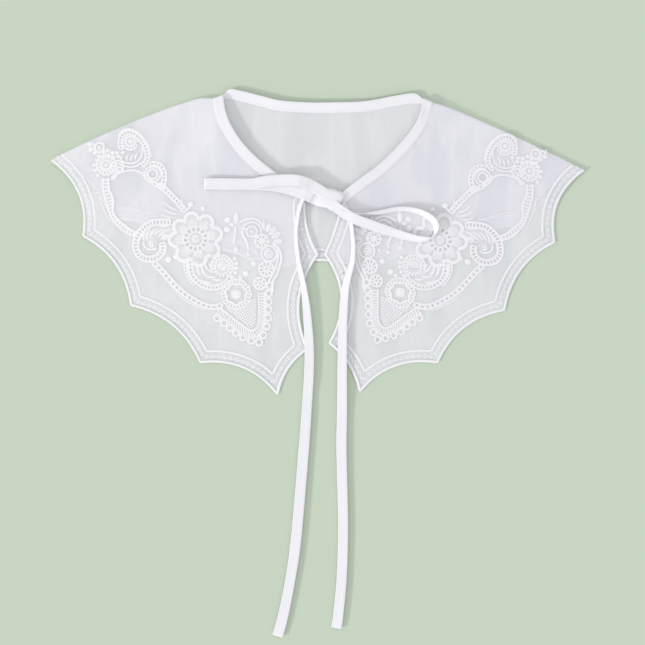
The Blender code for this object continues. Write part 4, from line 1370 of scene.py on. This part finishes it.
def ground_work():
    """Thin flat stitches under the dense parts, which the raised ones are worked over."""
    work = patch(((-202, 189, 5), (-196, 187, 10), (-188, 185, 9), (-180, 183, 7), (-173, 183, 5)))
    for x, y, radius in ((-165.4, 194.4, 6.6), (-186.5, 173.6, 8.4), (-176.4, 172.4, 5.2),
                         (-84.6, 84.6, 6.0), (-58.5, 115.2, 4.6), (-43.4, 95.7, 6.4),
                         (-147.0, 104.6, 4.4)):
        work += bud(x, y, radius, 0.0, 9)
    work += patch(((-154, 107, 5), (-149, 112, 12), (-140, 113, 14), (-131, 114, 12), (-126, 113, 7)))
    work += patch(((-107, 88, 6), (-104, 82, 11), (-99, 77, 14), (-91, 73, 12), (-83, 73, 7)))
    work += ring(-72.3, 60.3, 11.0, 6.0) + ring(-84.6, 84.6, 7.8, 4.4)
    work += patch([(x, y, 6.5) for x, y in NET_OUTER])
    work += patch(((-48, 122, 6), (-41, 116, 9), (-36, 109, 8), (-37, 96, 8), (-40, 82, 7)))
    work += ring(-107.8, 108.5, 15.9, 10.6) + bud(-107.8, 108.5, 6.2, 0.0, 9)
    work += ring(-145.6, 165.6, 5.5, 4.4)
    work += patch(((-187, 163, 4), (-185, 150, 5), (-182, 135, 5), (-177, 124, 5), (-162, 112, 4)))
    return work


def inside(x, y, corners):
    """Whether a spot is inside a closed outline."""
    found = False
    for a, b in zip(corners, corners[1:] + corners[:1]):
        if (a[1] > y) != (b[1] > y) and x < a[0] + (y - a[1]) * (b[0] - a[0]) / (b[1] - a[1]):
            found = not found
    return found


def net_lines(corners, pitch, turn, width):
    """Fine threads across an outline, all one way."""
    a = math.radians(turn)
    way = np.array((math.cos(a), math.sin(a)))
    left = np.array((-way[1], way[0]))
    middle = np.mean(np.array(corners), axis=0)
    work = []
    for number in range(-14, 15):
        run = []
        for step in np.linspace(-26, 26, 105):
            spot = middle + left * pitch * number + way * step
            if inside(spot[0], spot[1], corners):
                run.append(spot)
        if len(run) > 4:
            work += line(evenly(np.array((run[0], run[-1])), 2.4), width, False, 0.0)
    return work


def net_work():
    """The netted drop: fine net, a stitched border with bars round it, and a row of picots."""
    work = net_lines(NET_CORNERS, 2.1, 32, 0.95)
    work += net_lines(NET_CORNERS, 2.1, -58, 0.95)
    work += line(NET_BORDER, 1.9, False, 0.1, 5)
    work += rungs(NET_BORDER, NET_OUTER, 2.25, 1.45)
    work += line(NET_OUTER, 1.4, False, 0.05, 4)
    work += picots(NET_PICOTS)
    return work


def edging_paths(table, side):
    """Outer edge, inner line and dot row of one scalloped edge, each as points."""
    arcs = [np.array(arc)[:, :2] for arc in scallops(table, side, 22)]
    found = []
    for inset in (0.55, DOT_INSET, LINE_INSET):
        lines = [points + side_ways(points) * side * inset for points in arcs]
        for number in range(len(lines) - 1):
            lines[number], lines[number + 1] = trimmed(lines[number], lines[number + 1])
        found.append(lines)
    return found


def trimmed(first, second):
    """Two neighbouring lines, each cut where they cross."""
    for i in range(len(first) - 2, -1, -1):
        a, b = first[i], first[i + 1]
        for j in range(len(second) - 1):
            c, d = second[j], second[j + 1]
            r, s = b - a, d - c
            cross = r[0] * s[1] - r[1] * s[0]
            if abs(cross) < 1e-9:
                continue
            t = ((c - a)[0] * s[1] - (c - a)[1] * s[0]) / cross
            u = ((c - a)[0] * r[1] - (c - a)[1] * r[0]) / cross
            if 0 <= t <= 1 and 0 <= u <= 1:
                meet = a + r * t
                return np.vstack((first[:i + 1], meet)), np.vstack((meet, second[j + 1:]))
    return first, second


def edging_work(table, side, height):
    """Satin edge, inner line and row of ringed dots along one scalloped edge."""
    outer, dots, inner = edging_paths(table, side)
    whole = np.vstack([part[:-1] for part in outer] + [outer[-1][-1:]])
    work = line(evenly(whole, 1.6), RIM_WIDTH, False, -0.1)
    if table is LEFT_FRONT:
        work += line(LINE_TOP, LINE_WIDTH, False, 0.0, 3)
    for part in inner:
        kept = [spot for spot in evenly(part, 1.8) if height(*spot) > 0]
        work += line(kept, LINE_WIDTH, False, 0.0)
    for part in dots:
        length = np.hypot(*np.diff(part, axis=0).T).sum()
        count = max(1, int(length / DOT_PITCH))
        for number in range(count):
            x, y = at_share(part, (number + 0.5) / count)[:2]
            if height(x, y) > 0:
                work += ring(x, y, 1.15, 1.0, 0.0)
            if number < count - 1:
                x, y = at_share(part, (number + 1.0) / count)[:2]
                work += bud(x, y, 0.75, 0.0) if height(x, y) > 0 else []
    return work


def stay(x, y):
    """The left front's own work is not carried anywhere."""
    return (x, y)


def carried_to_right():
    """How a spot of the left front maps to the right front, fitted to their outlines."""
    left = np.array([(row[0], row[1], 1.0) for row in LEFT_FRONT[2:]])
    right = np.array([(row[0], row[1]) for row in RIGHT_FRONT[2:]])
    fit = np.linalg.lstsq(left, right, rcond=None)[0]

    def carry(x, y):
        return tuple(np.array((x, y, 1.0)) @ fit)

    return carry


def thread_profile(name, rise):
    """The flat oval section of a laid thread, rise being its height to its width."""
    curve = bpy.data.curves.new(name, "CURVE")
    curve.dimensions = "2D"
    oval = curve.splines.new("POLY")
    oval.points.add(6)
    for number, point in enumerate(oval.points):
        angle = 2 * math.pi * number / 7
        point.co = (math.cos(angle), rise * math.sin(angle), 0.0, 1.0)
    oval.use_cyclic_u = True
    profile = bpy.data.objects.new(name, curve)
    bpy.context.scene.collection.objects.link(profile)
    return profile


def drawn_strokes(strokes, carry, height, profile, rise, drape):
    """Strokes as one mesh of threads, their run in metres in its UV; wide ones follow the cloth."""
    curve = bpy.data.curves.new("strokes", "CURVE")
    curve.dimensions = "3D"
    curve.twist_mode = "Z_UP"
    curve.bevel_mode = "OBJECT"
    curve.bevel_object = profile
    curve.use_fill_caps = True
    spots = []
    for points, widths, lift, closed in strokes:
        path = [carry(x, y) for x, y in points]
        laid = []
        for (x, y), width in zip(path, widths):
            base = height(x, y)
            laid.append((Vector((x, y, base + 0.07 + 0.45 * lift + rise * width)), base))
        run = 0.0
        stroke = curve.splines.new("POLY")
        stroke.points.add(len(laid) - 1)
        for number, (point, (spot, base), width) in enumerate(zip(stroke.points, laid, widths)):
            point.co = (*spot, 1.0)
            point.radius = width / 2
            if number:
                run += (spot - laid[number - 1][0]).length
            spots.append((spot, run, base))
        stroke.use_cyclic_u = closed
    drawn = bpy.data.objects.new("strokes", curve)
    bpy.context.scene.collection.objects.link(drawn)
    graph = bpy.context.evaluated_depsgraph_get()
    mesh = bpy.data.meshes.new_from_object(drawn.evaluated_get(graph))
    bpy.data.objects.remove(drawn)
    bpy.data.curves.remove(curve)
    near = KDTree(len(spots))
    for number, (spot, run, base) in enumerate(spots):
        near.insert(spot, number)
    near.balance()
    found = [near.find(vert.co)[1] for vert in mesh.vertices]
    layer = mesh.uv_layers[0]
    for loop in mesh.loops:
        layer.data[loop.index].uv.y = spots[found[loop.vertex_index]][1] * MM
    if drape:
        for vert, number in zip(mesh.vertices, found):
            under = height(vert.co.x, vert.co.y)
            if under > 0:
                vert.co.z += under - spots[number][2]
    return mesh


def sew(name, strokes, carry, height, profiles, material):
    """Lay strokes of thread on the cloth as one piece: narrow, wide and flat, or rounder edge ones."""
    kinds = [[], [], []]
    for stroke in strokes:
        kinds[2 if stroke[2] < 0 else int(max(stroke[1]) > WIDE_STROKE)].append(stroke)
    bm = bmesh.new()
    for number, (profile, rise) in enumerate(profiles):
        if kinds[number]:
            part = drawn_strokes(kinds[number], carry, height, profile, rise, number == 1)
            bm.from_mesh(part)
    bmesh.ops.recalc_face_normals(bm, faces=bm.faces)
    mesh = bpy.data.meshes.new(name)
    bm.to_mesh(mesh)
    bm.free()
    into_place(mesh)
    piece = add_piece(name, mesh, material)
    piece.data.set_sharp_from_angle(angle=math.radians(50))
    return piece


def make_table(material):
    """The plain floor under the collar."""
    bm = bmesh.new()
    bmesh.ops.create_grid(bm, x_segments=8, y_segments=8, size=6.0)
    mesh = bpy.data.meshes.new("table_top")
    bm.to_mesh(mesh)
    bm.free()
    mesh.materials.append(material)
    table = bpy.data.objects.new("table_top", mesh)
    bpy.context.scene.collection.objects.link(table)


def main():
    set_camera()
    set_light()
    groups = {"grid": thread_grid_group(), "clouds": soft_clouds_group(),
              "stitches": laid_stitches_group()}
    organza = organza_finish(groups)
    thread = thread_finish(groups, "white_thread", (0.855, 0.845, 0.893), (0.985, 0.973, 1.0),
                           0.00045, 0.65)
    satin = thread_finish(groups, "satin_edge_thread", (0.875, 0.867, 0.91), (0.985, 0.975, 1.0),
                          0.0004, 0.5)
    ground = thread_finish(groups, "ground_stitches", (0.87, 0.862, 0.91), (0.985, 0.977, 1.0),
                           0.0006, 0.7, 0.72)
    tape = ribbon_finish(groups)
    make_table(table_finish(groups))

    sections = organza_sections()
    lengths = [math.dist(a, b) for a, b in zip(sections[40], sections[40][1:])]
    across = list(np.concatenate(([0.0], np.cumsum(lengths))))
    collar = add_piece("organza_collar", cloth_mesh("organza_collar", sections, across), organza)
    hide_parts("collar_body")

    on_cloth = surface_height([collar])
    low = thread_profile("wide_section", 0.045)
    profiles = ((thread_profile("thread_section", 0.10), 0.04), (low, 0.015),
                (thread_profile("edge_section", 0.26), 0.13))
    grounds = ((low, 0.0), (thread_profile("ground_section", 0.006), 0.0))
    carry = carried_to_right()
    for side, way in (("left", stay), ("right", carry)):
        pieces = (
            ("tip", tip_work(), ("scroll_tip", "rosette_tip", "rosette_ring", "flower_eyelet")),
            ("band", band_work(), ("band_outer", "band_inner")),
            ("upper_leaf", upper_work(), ("scroll_upper",)),
            ("large_flower", large_flower_work(), ("flower_large",)),
            ("lower_leaf", lower_work(), ("scroll_lower", "band_stem", "flower_open")),
            ("rosette", column_work(), ("rosette_low", "rosette_mid", "rosette_high",
                                        "rosette_top", "flower_small")),
            ("net", net_work(), ("net_drop",)),
        )
        sew(f"{side}_stitched_ground", ground_work(), way, on_cloth, grounds, ground)
        for name, strokes, stands_for in pieces:
            piece = sew(f"{side}_{name}_embroidery", strokes, way, on_cloth, profiles, thread)
            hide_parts(*[f"motif_{side}_{node}" for node in stands_for])
    for name, table, side in (("left_front_edging", LEFT_FRONT, -1),
                              ("right_front_edging", RIGHT_FRONT, 1)):
        sew(name, edging_work(table, side, on_cloth), stay, on_cloth, profiles, satin)

    def on_back(x, y):
        return REST

    sew("back_hem_edging", edging_work(BACK_HEM, 1, on_cloth), stay, on_back, profiles, satin)
    for profile in (profiles[0][0], low, profiles[2][0], grounds[1][0]):
        bpy.data.objects.remove(profile)

    binding, length = ribbon_piece("neck_binding_tape", binding_frames(), RIBBON_WIDTH, BINDING, tape)
    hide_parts("neck_binding")

    under = [collar, binding]

    def lay(node, rows, width=RIBBON_WIDTH):
        height = surface_height(under)
        if rows:
            frames = refined(resting_frames(rows, height, 3, RIBBON_SEEN), 3)
        else:
            frames = left_loop_frames(height)
        name = node.replace("tie_", "ribbon_").replace("bow_", "ribbon_")
        piece, length = ribbon_piece(name, frames, width, RIBBON_SEEN, tape)
        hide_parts(node)
        under.append(piece)

    lay("tie_tail_left", TAIL_LEFT)
    lay("tie_tail_right", TAIL_RIGHT)
    lay("bow_loop_left", None, LEFT_LOOP_WIDTH)
    lay("bow_loop_right", LOOP_RIGHT)
    height = surface_height(under)
    top = 0.5 + max(height(KNOT["x"] + aside, KNOT["y"] + up)
                    for aside in (-6.0, -3.0, 0.0, 3.0) for up in (-3.0, 0.0, 3.0, 6.0))
    sections, across = knot_sections(top)
    knot = add_piece("ribbon_knot", cloth_mesh("ribbon_knot", sections, across, closed=True), tape)
    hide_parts("bow_knot")


main()
